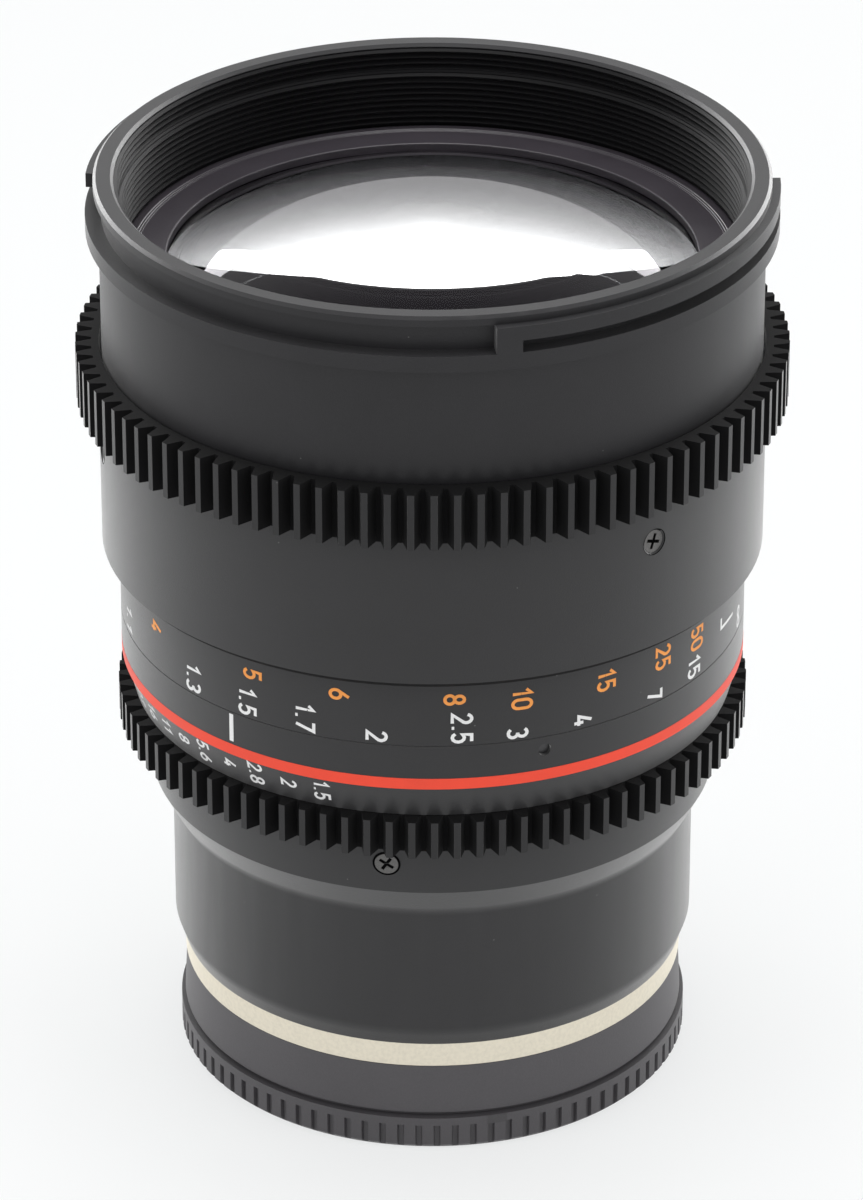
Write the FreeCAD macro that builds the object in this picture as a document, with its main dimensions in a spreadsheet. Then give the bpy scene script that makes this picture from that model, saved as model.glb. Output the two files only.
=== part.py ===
import FreeCAD, Part
import math
import os
import Sketcher

# A fast short telephoto cine lens, standing on its rear cap.
# Millimetres and degrees. +Z runs from the cap to the front glass, the front of the scales faces -Y.
# Every turning piece stands as it does with the index at about 1.45 m and between T2.8 and T4.

# Driving sizes: name in the sheet, value, what it is
SIZES = (
    ("filter_radius", 36.0, "filter thread, nominal radius, which the whole barrel follows"),
    ("cap_height", 10.99, "rear cap, base to lens flange"),
    ("cap_flange_height", 4.2, "gripped foot of the cap"),
    ("cap_grip_height", 3.2, "height of the grip grooves"),
    ("cap_groove_height", 0.6, "waist above the grip"),
    ("cap_foot_step", 0.64, "cap foot beyond the lens flange"),
    ("cap_waist_depth", 0.55, "waist below the cap side"),
    ("cap_side_inset", 0.45, "cap side inside the foot"),
    ("cap_mouth_inset", 0.11, "cap mouth inside the lens flange"),
    ("cap_lug_room", 1.9, "lens lugs to the inside of the cap"),
    ("cap_base_thickness", 1.6, "closed end of the cap"),
    ("cap_edge_chamfer", 0.6, "foot edge"),
    ("cap_grooves", 89, "grip grooves round the cap"),
    ("cap_groove_depth", 0.45, "grip groove depth"),
    ("cap_groove_width", 1.1, "grip groove width at the edge"),
    ("cap_lug_height", 1.2, "bayonet lug of the cap"),
    ("cap_lug_angle", 44, "sweep of one cap lug"),
    ("flange_radius", 29.56, "bayonet ring flange"),
    ("mount_ring_height", 3.2, "bayonet ring flange height"),
    ("bayonet_inset", 6.66, "flange edge to the outside of the bayonet lugs"),
    ("bayonet_wall", 1.2, "wall of the bayonet tube"),
    ("bayonet_tube_length", 5.0, "bayonet tube behind the flange"),
    ("bayonet_lug_reach", 1.3, "bayonet lugs beyond their tube"),
    ("bayonet_lug_height", 1.3, "bayonet lug thickness"),
    ("bayonet_lug_drop", 1.9, "flange to the lug's near face"),
    ("bayonet_lug_angle", 50, "sweep of one lens lug"),
    ("bayonet_turn", 20, "where the first lens lug stands"),
    ("mount_screw_inset", 3.96, "flange edge to the mount screws"),
    ("mount_screw_count", 4, "screws through the bayonet ring"),
    ("tube_chamfer_height", 2.76, "widening above the bayonet ring"),
    ("tube_foot_step", 0.24, "mount tube's foot beyond the flange"),
    ("tube_chamfer_depth", 0.91, "widening above the bayonet ring"),
    ("tube_height", 15.08, "straight side of the mount tube"),
    ("flare_height", 4.42, "flare up to the rear barrel"),
    ("tube_foot_wall", 3.0, "wall of the mount tube at its foot"),
    ("rear_barrel_wall", 2.9, "wall of the rear barrel over the spigot"),
    ("tube_spigot_length", 5.9, "spigot height"),
    ("tube_wall", 1.7, "wall of the spigot"),
    ("baffle_level", 8.5, "rear baffle above the mount tube's foot"),
    ("baffle_thickness", 1.2, "rear baffle"),
    ("baffle_rim", 1.8, "baffle outside the window's corners"),
    ("baffle_corner_angle", 36.87, "direction of the window's corner from X"),
    ("rear_barrel_taper", 0.6, "rear barrel narrower at its foot"),
    ("neck_step", 1.2, "rear barrel's top beyond the neck"),
    ("rear_barrel_height", 6.55, "rear barrel's visible side"),
    ("aperture_wall", 2.6, "aperture ring between the stop scale and the neck"),
    ("neck_wall", 1.6, "wall of the neck"),
    ("web_rise", 2.9, "web above the neck's foot"),
    ("web_thickness", 1.5, "web that carries the iris and rear cell"),
    ("rear_seat_wall", 3.7, "wall round the rear pair"),
    ("rear_screw_level", 3.85, "barrel screws above the barrel's foot"),
    ("rear_screw_azimuth", -99, "first barrel screw"),
    ("turning_gap", 0.12, "axial gap beside a turning ring"),
    ("running_gap", 0.06, "radial gap of a running fit"),
    ("free_gap", 0.3, "gap between pieces that move apart"),
    ("gear_module", 0.8, "tooth module of both follow gears"),
    ("pressure_angle", 20, "flank angle of the teeth"),
    ("aperture_gear_height", 4.67, "aperture gear face"),
    ("aperture_band_height", 4.01, "band with the stop scale"),
    ("aperture_band_taper", 1.1, "stop scale narrower at the gear"),
    ("aperture_band_inset", 0.23, "stop scale's top inside the index ring"),
    ("aperture_open_angle", 18, "turn from rest to full aperture"),
    ("aperture_close_angle", 31.5, "turn from rest to smallest stop"),
    ("aperture_pin_radius", 0.6, "pin between aperture ring and iris"),
    ("aperture_pin_azimuth", 60, "where that pin stands at rest"),
    ("index_height", 5.48, "fixed index ring"),
    ("index_ledge", 1.6, "ledge under the guide tube"),
    ("grub_radius", 0.75, "grub screw"),
    ("grub_level", 3.9, "grub screws above the index ring's foot"),
    ("grub_azimuth", -69.7, "first grub screw"),
    ("grub_recess", 0.5, "grub screw below the surface"),
    ("scale_height", 8.28, "visible focus scale"),
    ("scale_wall", 1.43, "wall of the scale ring"),
    ("cam_wall", 1.94, "wall of the cam ring"),
    ("sleeve_wall", 1.96, "wall of the focus ring"),
    ("sleeve_height", 18.68, "focus ring below its gear"),
    ("sleeve_chamfer", 0.7, "lower edge of the focus ring"),
    ("focus_gear_rim", 0.89, "ring under the focus gear's teeth"),
    ("focus_gear_height", 6.78, "focus gear face"),
    ("focus_screw_drop", 4.88, "focus ring screws below the gear"),
    ("focus_screw_azimuth", -49.9, "first focus ring screw"),
    ("focus_near_angle", 35.5, "turn from rest to the nearest mark"),
    ("focus_far_angle", 111, "turn from rest to infinity"),
    ("focus_travel", 8.0, "travel of the focus group over the whole turn"),
    ("screw_head_radius", 1.6, "cross-head screw"),
    ("screw_head_height", 0.8, "countersunk head"),
    ("screw_shank_radius", 0.8, "screw shank"),
    ("screw_clearance", 0.05, "clearance hole round a screw"),
    ("screw_bite", 1.5, "thread of an axial screw"),
    ("guide_wall", 1.7, "wall of the guide tube"),
    ("guide_flange_height", 2.0, "flange under the front barrel"),
    ("guide_screw_azimuth", 20, "first guide tube screw"),
    ("roller_radius", 1.75, "cam follower"),
    ("roller_level", 10.6, "cam follower above the index ring at rest"),
    ("roller_azimuth", 90, "first cam follower"),
    ("roller_shank_radius", 1.0, "follower's shank in the focus cell"),
    ("front_barrel_step", 0.48, "front barrel inside the focus ring's surface"),
    ("front_barrel_height", 14.14, "front barrel above the focus gear"),
    ("filter_step", 0.5, "filter thread beyond the bore behind it"),
    ("front_flange_height", 2.0, "inner flange of the front barrel"),
    ("front_cell_gap", 1.7, "guide tube's bore to the front cell"),
    ("shoulder_step", 1.49, "shoulder and hood lugs beyond the barrel"),
    ("shoulder_height", 1.9, "shoulder"),
    ("channel_inset", 0.31, "floor of the hood channel inside the barrel"),
    ("channel_height", 1.4, "hood channel"),
    ("lug_height", 1.7, "hood lug"),
    ("focus_tooth_turn", 2.06, "where the focus gear's first gap stands"),
    ("aperture_tooth_turn", 0.38, "where the aperture gear's first gap stands"),
    ("right_lug_azimuth", -79.8, "first hood lug starts here"),
    ("right_lug_angle", 80.6, "sweep of the first hood lug"),
    ("stop_angle", 4.2, "sweep of the stop at the first lug"),
    ("left_lug_azimuth", 97, "second hood lug starts here"),
    ("left_lug_angle", 80.5, "sweep of the second hood lug"),
    ("rim_height", 1.15, "lip above the hood lugs"),
    ("rim_step", 0.52, "front lip beyond the barrel"),
    ("filter_wall", 1.81, "front barrel round the filter thread"),
    ("rim_chamfer", 0.35, "edges of the front lip"),
    ("filter_depth", 3.95, "front lip to the foot of the filter thread"),
    ("front_ring_height", 1.02, "retaining ring of the front glass"),
    ("front_ring_overlap", 1.0, "retaining ring over the front glass"),
    ("front_vertex_drop", 4.15, "front lip to the vertex of the front glass"),
    ("first_seat_wall", 4.3, "wall round the front glass"),
    ("first_front_curve", 68.0, "front glass, front surface"),
    ("first_back_curve", 180.0, "front glass, back surface"),
    ("first_thickness", 9.0, "front glass"),
    ("first_air", 0.5, "air behind the front glass"),
    ("second_seat_wall", 2.0, "wall round the second glass"),
    ("second_front_curve", 48.0, "second glass, front surface"),
    ("second_back_curve", 90.0, "second glass, back surface"),
    ("second_thickness", 8.0, "second glass"),
    ("second_air", 1.0, "air behind the second glass"),
    ("third_step", 2.0, "third glass inside the second"),
    ("third_front_curve", 110.0, "third glass, front surface"),
    ("third_hollow", 7.43, "depth of the third glass's hollow back"),
    ("third_flat", 5.0, "flat rim round the hollow back"),
    ("third_thickness", 2.5, "third glass"),
    ("cell_lip", 0.57, "lip under the third glass"),
    ("cell_floor", 0.67, "front cell's flange under the front glass"),
    ("focus_vertex_rise", 4.3, "focus pair's front vertex above the cam followers"),
    ("focus_channel", 4.7, "channel between the focus cell's skirt and hub"),
    ("fourth_front_curve", 90.0, "focus pair, hollow front surface"),
    ("fourth_thickness", 1.8, "first glass of the focus pair"),
    ("pair_curve", 80.0, "cemented surface of the focus pair"),
    ("fifth_back_curve", 75.0, "focus pair, back surface"),
    ("fifth_edge", 0.92, "second glass of the focus pair, at its rim"),
    ("fifth_air", 0.3, "air behind the focus pair"),
    ("sixth_step", 1.0, "sixth glass inside the focus pair"),
    ("sixth_front_curve", 100.0, "sixth glass, front surface"),
    ("sixth_back_curve", 250.0, "sixth glass, back surface"),
    ("sixth_edge", 1.14, "sixth glass, at its rim"),
    ("focus_cell_fall", 8.0, "sliding skirt below the followers"),
    ("focus_cell_wall", 2.14, "sliding skirt of the focus cell"),
    ("focus_web", 5.0, "web of the focus cell"),
    ("focus_seat_wall", 1.8, "wall round the focus glass"),
    ("cell_ring_height", 0.8, "retaining rings of the focus cell"),
    ("iris_width", 10.5, "neck bore to the full aperture"),
    ("iris_plate", 1.2, "plate that holds the blade pivots"),
    ("iris_wall", 1.45, "wall round the blades"),
    ("iris_room", 1.9, "height of the blade space"),
    ("iris_cam_thickness", 1.5, "iris cam ring"),
    ("iris_blades", 8, "blades of the iris"),
    ("blade_pivot_step", 4.2, "blade pivots beyond the full aperture"),
    ("blade_width", 3.0, "blade from its inner to its outer edge"),
    ("blade_thickness", 0.12, "blade"),
    ("blade_pitch", 0.2, "height from one blade to the next"),
    ("blade_sweep_angle", 122, "sweep of a blade's band"),
    ("blade_tail_angle", 3, "sweep of the band behind its pivot"),
    ("blade_swing_angle", 45.6, "turn of a blade over the whole stop range"),
    ("blade_arm", 4.0, "pivot to drive pin"),
    ("blade_head_radius", 2.2, "blade round its pivot"),
    ("blade_pin_radius", 0.45, "pivot and drive pins"),
    ("cam_slot_play", 0.15, "play of a drive pin in its slot"),
    ("seventh_step", 1.3, "rear pair inside the full aperture"),
    ("seventh_front_curve", 80.0, "rear pair, hollow front surface"),
    ("seventh_thickness", 1.4, "first glass of the rear pair"),
    ("rear_pair_curve", 55.0, "cemented surface of the rear pair"),
    ("eighth_back_curve", 70.0, "rear pair, back surface"),
    ("eighth_edge", 0.99, "second glass of the rear pair, at its rim"),
    ("eighth_air", 0.3, "air behind the rear pair"),
    ("ninth_step", 1.0, "last glass inside the rear pair"),
    ("ninth_front_curve", 90.0, "last glass, front surface"),
    ("ninth_back_curve", 160.0, "last glass, back surface"),
    ("ninth_edge", 0.57, "last glass, at its rim"),
    ("rear_rim_rise", 0.19, "rim of the rear pair above the web"),
    ("rear_flange_width", 1.7, "flange of the rear cell"),
    ("rear_cell_wall", 2.4, "wall of the rear cell"),
    ("ledge", 1.1, "ledges that the glass rests on"),
)

document = FreeCAD.newDocument("CineLens")
sheet = document.addObject("Spreadsheet::Sheet", "Sizes")


class Size:
    """A number of the model, with the expression that keeps it tied to the sheet."""

    def __init__(self, value, text):
        self.value = value
        self.text = text

    def joined(self, other, sign, value):
        return Size(value, f"({self.text} {sign} {other.text})")

    def __add__(self, other):
        other = as_size(other)
        return self.joined(other, "+", self.value + other.value)

    def __sub__(self, other):
        other = as_size(other)
        return self.joined(other, "-", self.value - other.value)

    def __mul__(self, other):
        other = as_size(other)
        return self.joined(other, "*", self.value * other.value)

    def __truediv__(self, other):
        other = as_size(other)
        return self.joined(other, "/", self.value / other.value)

    def __neg__(self):
        return Size(-self.value, f"(-1 * {self.text})")


def as_size(number):
    """A size from a size or a bare number."""
    if isinstance(number, Size):
        return number
    return Size(number, repr(float(number)))


def root(size):
    return Size(math.sqrt(size.value), f"sqrt({size.text})")


def sine(degrees):
    degrees = as_size(degrees)
    return Size(math.sin(math.radians(degrees.value)), f"sin({degrees.text})")


def cosine(degrees):
    degrees = as_size(degrees)
    return Size(math.cos(math.radians(degrees.value)), f"cos({degrees.text})")


def whole(size):
    """The nearest whole number, for what can only be counted."""
    return Size(float(math.floor(size.value + 0.5)), f"round({size.text})")


class Named:
    """The sheet's sizes by name."""


s = Named()
for row, (alias, number, meaning) in enumerate(SIZES, 1):
    sheet.set(f"A{row}", alias)
    sheet.set(f"B{row}", repr(number))
    sheet.set(f"C{row}", meaning)
    sheet.setAlias(f"B{row}", alias)
    setattr(s, alias, Size(float(number), f"Sizes.{alias}"))
document.recompute()

ZERO = as_size(0)
FULL_TURN = as_size(360)
HALF_TURN = as_size(180)
nodes = []


# Modelling tools

def origin_part(body, role):
    """The plane or axis of a body's origin with this role."""
    found = [feature for feature in body.Origin.OriginFeatures if feature.Role == role]
    return found[0]


def hold(sketch, geometry, end, across, up):
    """Ties one end of a sketch line to its distances from the origin."""
    if across is ZERO:
        sketch.addConstraint(Sketcher.Constraint("PointOnObject", geometry, end, -2))
    else:
        number = sketch.addConstraint(
            Sketcher.Constraint("DistanceX", -1, 1, geometry, end, across.value))
        sketch.setExpression(f"Constraints[{number}]", across.text)
    number = sketch.addConstraint(Sketcher.Constraint("DistanceY", -1, 1, geometry, end, up.value))
    sketch.setExpression(f"Constraints[{number}]", up.text)


def outline(sketch, corners):
    """A closed outline of straight lines through the corners."""
    points = [FreeCAD.Vector(across.value, up.value, 0) for across, up in corners]
    count = len(points)
    for number in range(count):
        sketch.addGeometry(Part.LineSegment(points[number], points[(number + 1) % count]))
    for number in range(count):
        sketch.addConstraint(
            Sketcher.Constraint("Coincident", number, 2, (number + 1) % count, 1))
    for number, (across, up) in enumerate(corners):
        hold(sketch, number, 1, as_size(across), as_size(up))


def new_body(name):
    body = document.addObject("PartDesign::Body", name)
    body.Label = name
    return body


def side_sketch(body, name, azimuth=None):
    """A sketch in the plane of the axis, whose x is the radius and whose y is the height."""
    sketch = body.newObject("Sketcher::SketchObject", name)
    sketch.AttachmentSupport = [(origin_part(body, "XZ_Plane"), "")]
    sketch.MapMode = "FlatFace"
    if azimuth is not None:
        turn = FreeCAD.Rotation(FreeCAD.Vector(0, 1, 0), azimuth.value)
        sketch.AttachmentOffset = FreeCAD.Placement(FreeCAD.Vector(), turn)
        text = f"rotation(vector(0; 1; 0); {azimuth.text})"
        sketch.setExpression("AttachmentOffset", f"placement(vector(0; 0; 0); {text})")
    return sketch


def level_sketch(body, name, height, turn=None):
    """A sketch square to the axis, at this height, turned round the axis if asked."""
    sketch = body.newObject("Sketcher::SketchObject", name)
    sketch.AttachmentSupport = [(origin_part(body, "XY_Plane"), "")]
    sketch.MapMode = "FlatFace"
    sketch.setExpression("AttachmentOffset.Base.z", height.text)
    if turn is not None:
        sketch.setExpression("AttachmentOffset.Rotation.Angle", turn.text)
    return sketch


def turned(name, corners):
    """A body turned from one closed outline of (radius, height) corners."""
    body = new_body(name)
    sketch = side_sketch(body, f"{name}_outline")
    outline(sketch, corners)
    feature = body.newObject("PartDesign::Revolution", f"{name}_turned")
    feature.Profile = sketch
    feature.ReferenceAxis = (origin_part(body, "Z_Axis"), [""])
    feature.Angle = FULL_TURN.value
    return body


def arc_feature(body, name, kind, corners, azimuth, sweep):
    """Adds or cuts an outline turned through part of a circle, counter-clockwise from azimuth."""
    sketch = side_sketch(body, f"{name}_outline", azimuth)
    outline(sketch, corners)
    feature = body.newObject(kind, name)
    feature.Profile = sketch
    feature.ReferenceAxis = (origin_part(body, "Z_Axis"), [""])
    feature.Angle = sweep.value
    feature.setExpression("Angle", sweep.text)
    feature.Reversed = False
    return feature


def repeated(body, name, feature, count):
    """Repeats a feature round the axis."""
    pattern = body.newObject("PartDesign::PolarPattern", name)
    pattern.Originals = [feature]
    pattern.Axis = (origin_part(body, "Z_Axis"), [""])
    pattern.Angle = FULL_TURN.value
    pattern.Occurrences = int(count.value)
    pattern.setExpression("Occurrences", count.text)
    body.Tip = pattern
    return pattern


def tooth_gaps(body, name, teeth, top, height, turn):
    """Cuts the gaps between straight-flanked gear teeth into the top of a blank."""
    pitch_radius = s.gear_module * teeth / 2
    root_radius = pitch_radius - s.gear_module * DEDENDUM
    outside = pitch_radius + s.gear_module * OVERSHOOT
    half_gap = s.gear_module * (math.pi / 4)
    lean = sine(s.pressure_angle) / cosine(s.pressure_angle)
    narrow = half_gap - (pitch_radius - root_radius) * lean
    wide = half_gap + (outside - pitch_radius) * lean
    sketch = level_sketch(body, f"{name}_gap", top, turn)
    outline(sketch, [(root_radius, -narrow), (outside, -wide), (outside, wide), (root_radius, narrow)])
    pocket = body.newObject("PartDesign::Pocket", f"{name}_cut")
    pocket.Profile = sketch
    pocket.Length = height.value
    pocket.setExpression("Length", height.text)
    repeated(body, f"{name}_teeth", pocket, teeth)


def seat(piece, vector, turn):
    """Ties a piece's placement to expressions."""
    across, along, up = vector
    place = f"vector({across.text}; {along.text}; {up.text})"
    piece.setExpression("Placement", f"placement({place}; {turn})")


def spin(azimuth):
    return f"rotation(vector(0; 0; 1); {as_size(azimuth).text})"


def radial(piece, azimuth, radius, height, outward=True):
    """Lays a piece's own Z along the radius at this azimuth, starting at this radius."""
    lean = 90 if outward else -90
    turn = f"{spin(azimuth)} * rotation(vector(0; 1; 0); {lean})"
    seat(piece, (radius * cosine(azimuth), radius * sine(azimuth), height), turn)


def cylinder(name, radius, height, sweep=None):
    piece = document.addObject("Part::Cylinder", name)
    piece.setExpression("Radius", as_size(radius).text)
    piece.setExpression("Height", as_size(height).text)
    if sweep is not None:
        piece.setExpression("Angle", as_size(sweep).text)
    return piece


def box(name, length, width, height):
    piece = document.addObject("Part::Box", name)
    piece.setExpression("Length", as_size(length).text)
    piece.setExpression("Width", as_size(width).text)
    piece.setExpression("Height", as_size(height).text)
    return piece


def fused(name, pieces):
    joined = document.addObject("Part::MultiFuse", name)
    joined.Shapes = pieces
    joined.Label = name
    return joined


def grouped(name, pieces):
    group = document.addObject("Part::Compound", name)
    group.Links = pieces
    group.Label = name
    return group


def cut(name, base, tool):
    """The base without the tool, under the name of its node."""
    base.Label = f"{name}_uncut"
    result = document.addObject("Part::Cut", f"{name}_piece")
    result.Base = base
    result.Tool = tool
    result.Label = name
    return result


def keep(*pieces):
    nodes.extend(pieces)


def thirds(azimuth):
    """Three azimuths a third of a turn apart."""
    return [azimuth + FULL_TURN * number / 3 for number in range(3)]


def sag(curve, reach):
    """How far a sphere's surface falls back from its vertex at this radius."""
    return curve - root(curve * curve - reach * reach)


def biconvex(rim_thickness, front_curve, back_curve, rim):
    """Middle thickness of a glass that bulges on both sides."""
    return rim_thickness + sag(front_curve, rim) + sag(back_curve, rim)


def edge(vertex, curve, bulge, reach):
    """Height of a glass surface at a radius. Bulge is 1 for a bulge to the front, -1 to the back."""
    fall = sag(curve, reach)
    return vertex - fall if bulge > 0 else vertex + fall


def lens_surface(sketch, vertex, curve, bulge, reach):
    """An arc from the axis to the reach. Returns it with the numbers of its axis and rim ends."""
    centre = vertex - curve if bulge > 0 else vertex + curve
    half = math.asin(reach.value / curve.value)
    up = math.pi / 2
    start, stop = (up - half, up) if bulge > 0 else (-up, half - up)
    circle = Part.Circle(FreeCAD.Vector(0, centre.value, 0), FreeCAD.Vector(0, 0, 1), curve.value)
    arc = sketch.addGeometry(Part.ArcOfCircle(circle, start, stop))
    axis_end, rim_end = (2, 1) if bulge > 0 else (1, 2)
    hold(sketch, arc, 3, ZERO, centre)
    hold(sketch, arc, axis_end, ZERO, vertex)
    number = sketch.addConstraint(
        Sketcher.Constraint("DistanceX", -1, 1, arc, rim_end, reach.value))
    sketch.setExpression(f"Constraints[{number}]", reach.text)
    return arc, axis_end, rim_end


def link(sketch, first, first_end, second, second_end):
    """A straight line between the ends of two pieces of an outline."""
    start = sketch.getPoint(first, first_end)
    stop = sketch.getPoint(second, second_end)
    line = sketch.addGeometry(Part.LineSegment(start, stop))
    sketch.addConstraint(Sketcher.Constraint("Coincident", line, 1, first, first_end))
    sketch.addConstraint(Sketcher.Constraint("Coincident", line, 2, second, second_end))
    return line


def glass(name, rim, front, back, clear=None):
    """One glass element. Front and back are (vertex height, curve, bulge), clear its hollow back."""
    body = new_body(name)
    sketch = side_sketch(body, f"{name}_outline")
    front_arc, front_axis, front_rim = lens_surface(sketch, *front, rim)
    back_arc, back_axis, back_rim = lens_surface(sketch, *back, clear or rim)
    link(sketch, front_arc, front_axis, back_arc, back_axis)
    if clear is None:
        link(sketch, front_arc, front_rim, back_arc, back_rim)
    else:
        flat = sketch.addGeometry(Part.LineSegment(
            sketch.getPoint(back_arc, back_rim),
            FreeCAD.Vector(rim.value, edge(*back, clear).value, 0)))
        sketch.addConstraint(Sketcher.Constraint("Coincident", flat, 1, back_arc, back_rim))
        sketch.addConstraint(Sketcher.Constraint("Horizontal", flat))
        side = link(sketch, front_arc, front_rim, flat, 2)
        sketch.addConstraint(Sketcher.Constraint("Vertical", side))
    feature = body.newObject("PartDesign::Revolution", f"{name}_turned")
    feature.Profile = sketch
    feature.ReferenceAxis = (origin_part(body, "Z_Axis"), [""])
    feature.Angle = FULL_TURN.value
    return body


def screws(name, azimuths, radius, height, length, slack=0.0):
    """Countersunk screws laid along the radius, their heads flush at this radius."""
    made = []
    for number, azimuth in enumerate(azimuths, 1):
        head = document.addObject("Part::Cone", f"{name}_head_{number}")
        head.setExpression("Radius1", (s.screw_head_radius + slack).text)
        head.setExpression("Radius2", (s.screw_shank_radius + slack).text)
        head.setExpression("Height", s.screw_head_height.text)
        radial(head, azimuth, radius, height, outward=False)
        shank = cylinder(f"{name}_shank_{number}", s.screw_shank_radius + slack, length)
        radial(shank, azimuth, radius, height, outward=False)
        made.append(fused(f"{name}_{number}", [head, shank]))
    return grouped(name, made)


# Tooth proportions, in modules
DEDENDUM = 1.25
OVERSHOOT = 1.5

# Heights of the visible joints, from the cap's base to the front lip
flange = s.cap_height
tube_foot = flange + s.mount_ring_height
tube_side = tube_foot + s.tube_chamfer_height
flare = tube_side + s.tube_height
barrel_foot = flare + s.flare_height
neck_foot = barrel_foot + s.rear_barrel_height
aperture_foot = neck_foot + s.turning_gap
aperture_band = aperture_foot + s.aperture_gear_height
aperture_top = aperture_band + s.aperture_band_height
index_foot = aperture_top + s.turning_gap
index_top = index_foot + s.index_height
scale_foot = index_top + s.turning_gap
sleeve_foot = scale_foot + s.scale_height
gear_foot = sleeve_foot + s.sleeve_height
gear_top = gear_foot + s.focus_gear_height
shoulder = gear_top + s.front_barrel_height
channel = shoulder + s.shoulder_height
lug_foot = channel + s.channel_height
lug_top = lug_foot + s.lug_height
rim_top = lug_top + s.rim_height

# Radii of the barrel, from the filter thread inwards
front_barrel_radius = s.filter_radius + s.filter_wall
front_bore = s.filter_radius - s.filter_step
shoulder_radius = front_barrel_radius + s.shoulder_step
channel_radius = front_barrel_radius - s.channel_inset
rim_radius = front_barrel_radius + s.rim_step
sleeve_radius = front_barrel_radius + s.front_barrel_step
focus_gear_bore = front_barrel_radius + s.free_gap
barrel_radius = sleeve_radius - s.sleeve_wall
cam_radius = barrel_radius - s.scale_wall
cam_bore = cam_radius - s.cam_wall
guide_radius = cam_bore - s.running_gap
guide_bore_radius = guide_radius - s.guide_wall
aperture_band_radius = barrel_radius - s.aperture_band_inset
aperture_band_foot_radius = aperture_band_radius - s.aperture_band_taper
neck_radius = aperture_band_foot_radius - s.aperture_wall
aperture_bore = neck_radius + s.running_gap
neck_bore = neck_radius - s.neck_wall
rear_barrel_top_radius = neck_radius + s.neck_step
rear_barrel_radius = rear_barrel_top_radius - s.rear_barrel_taper
tube_spigot_radius = rear_barrel_radius - s.rear_barrel_wall
spigot_bore = tube_spigot_radius - s.tube_wall

# Teeth of the follow gears, as many as the rings under them ask for
focus_teeth = whole((focus_gear_bore + s.focus_gear_rim + s.gear_module * DEDENDUM) * 2 / s.gear_module)
aperture_teeth = whole((aperture_band_foot_radius + s.gear_module * DEDENDUM) * 2 / s.gear_module)

# Radii of the mount and the cap, from the bayonet's flange
tube_foot_radius = s.flange_radius + s.tube_foot_step
tube_radius = tube_foot_radius + s.tube_chamfer_depth
tube_bore_radius = tube_foot_radius - s.tube_foot_wall
mount_screw_circle = s.flange_radius - s.mount_screw_inset
bayonet_lug_radius = s.flange_radius - s.bayonet_inset
bayonet_tube_radius = bayonet_lug_radius - s.bayonet_lug_reach
throat_radius = bayonet_tube_radius - s.bayonet_wall
cap_bore_radius = bayonet_lug_radius + s.cap_lug_room
cap_mouth_radius = s.flange_radius - s.cap_mouth_inset
cap_flange_radius = s.flange_radius + s.cap_foot_step
cap_side_radius = cap_flange_radius - s.cap_side_inset
cap_waist_radius = cap_side_radius - s.cap_waist_depth

# Radii of the optics, from the tubes round them
first_rim = front_bore - s.first_seat_wall
front_clear_radius = first_rim - s.front_ring_overlap
front_cell_radius = guide_bore_radius - s.front_cell_gap
front_flange_bore = guide_bore_radius + s.free_gap
second_rim = front_cell_radius - s.second_seat_wall
third_rim = second_rim - s.third_step
third_back_clear = third_rim - s.third_flat
third_back_curve = (third_back_clear * third_back_clear + s.third_hollow * s.third_hollow) / (
    s.third_hollow * 2)
focus_outside = guide_bore_radius - s.running_gap
focus_skirt = focus_outside - s.focus_cell_wall
focus_hub = focus_skirt - s.focus_channel
fourth_rim = focus_hub - s.focus_seat_wall
sixth_rim = fourth_rim - s.sixth_step
iris_clear_radius = neck_bore - s.iris_width
blade_pivot_circle = iris_clear_radius + s.blade_pivot_step
blade_outer_radius = iris_clear_radius + s.blade_width
seventh_rim = iris_clear_radius - s.seventh_step
ninth_rim = seventh_rim - s.ninth_step
rear_cell_radius = seventh_rim + s.rear_seat_wall
rear_cell_flange = rear_cell_radius + s.rear_flange_width

# Heights inside
web_top = neck_foot + s.web_rise
web_foot = web_top - s.web_thickness
iris_floor = web_top + s.iris_plate
cam_ring_foot = iris_floor + s.iris_room + s.turning_gap
cam_ring_top = cam_ring_foot + s.iris_cam_thickness
aperture_pin_level = (cam_ring_foot + cam_ring_top) / 2
guide_foot = index_foot + s.index_ledge
first_face = (rim_top - s.front_vertex_drop, s.first_front_curve, 1)
first_end = (rim_top - s.front_vertex_drop - s.first_thickness, s.first_back_curve, 1)
cell_flange = edge(*first_end, first_rim) - s.cell_floor
flange_foot = cell_flange - s.front_flange_height
roller_level = index_top + s.roller_level
focus_turn = s.focus_near_angle + s.focus_far_angle
focus_rise = s.focus_travel * s.focus_near_angle / focus_turn
focus_fall = s.focus_travel * s.focus_far_angle / focus_turn
stop_range = s.aperture_open_angle + s.aperture_close_angle


# Rear cap

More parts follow.
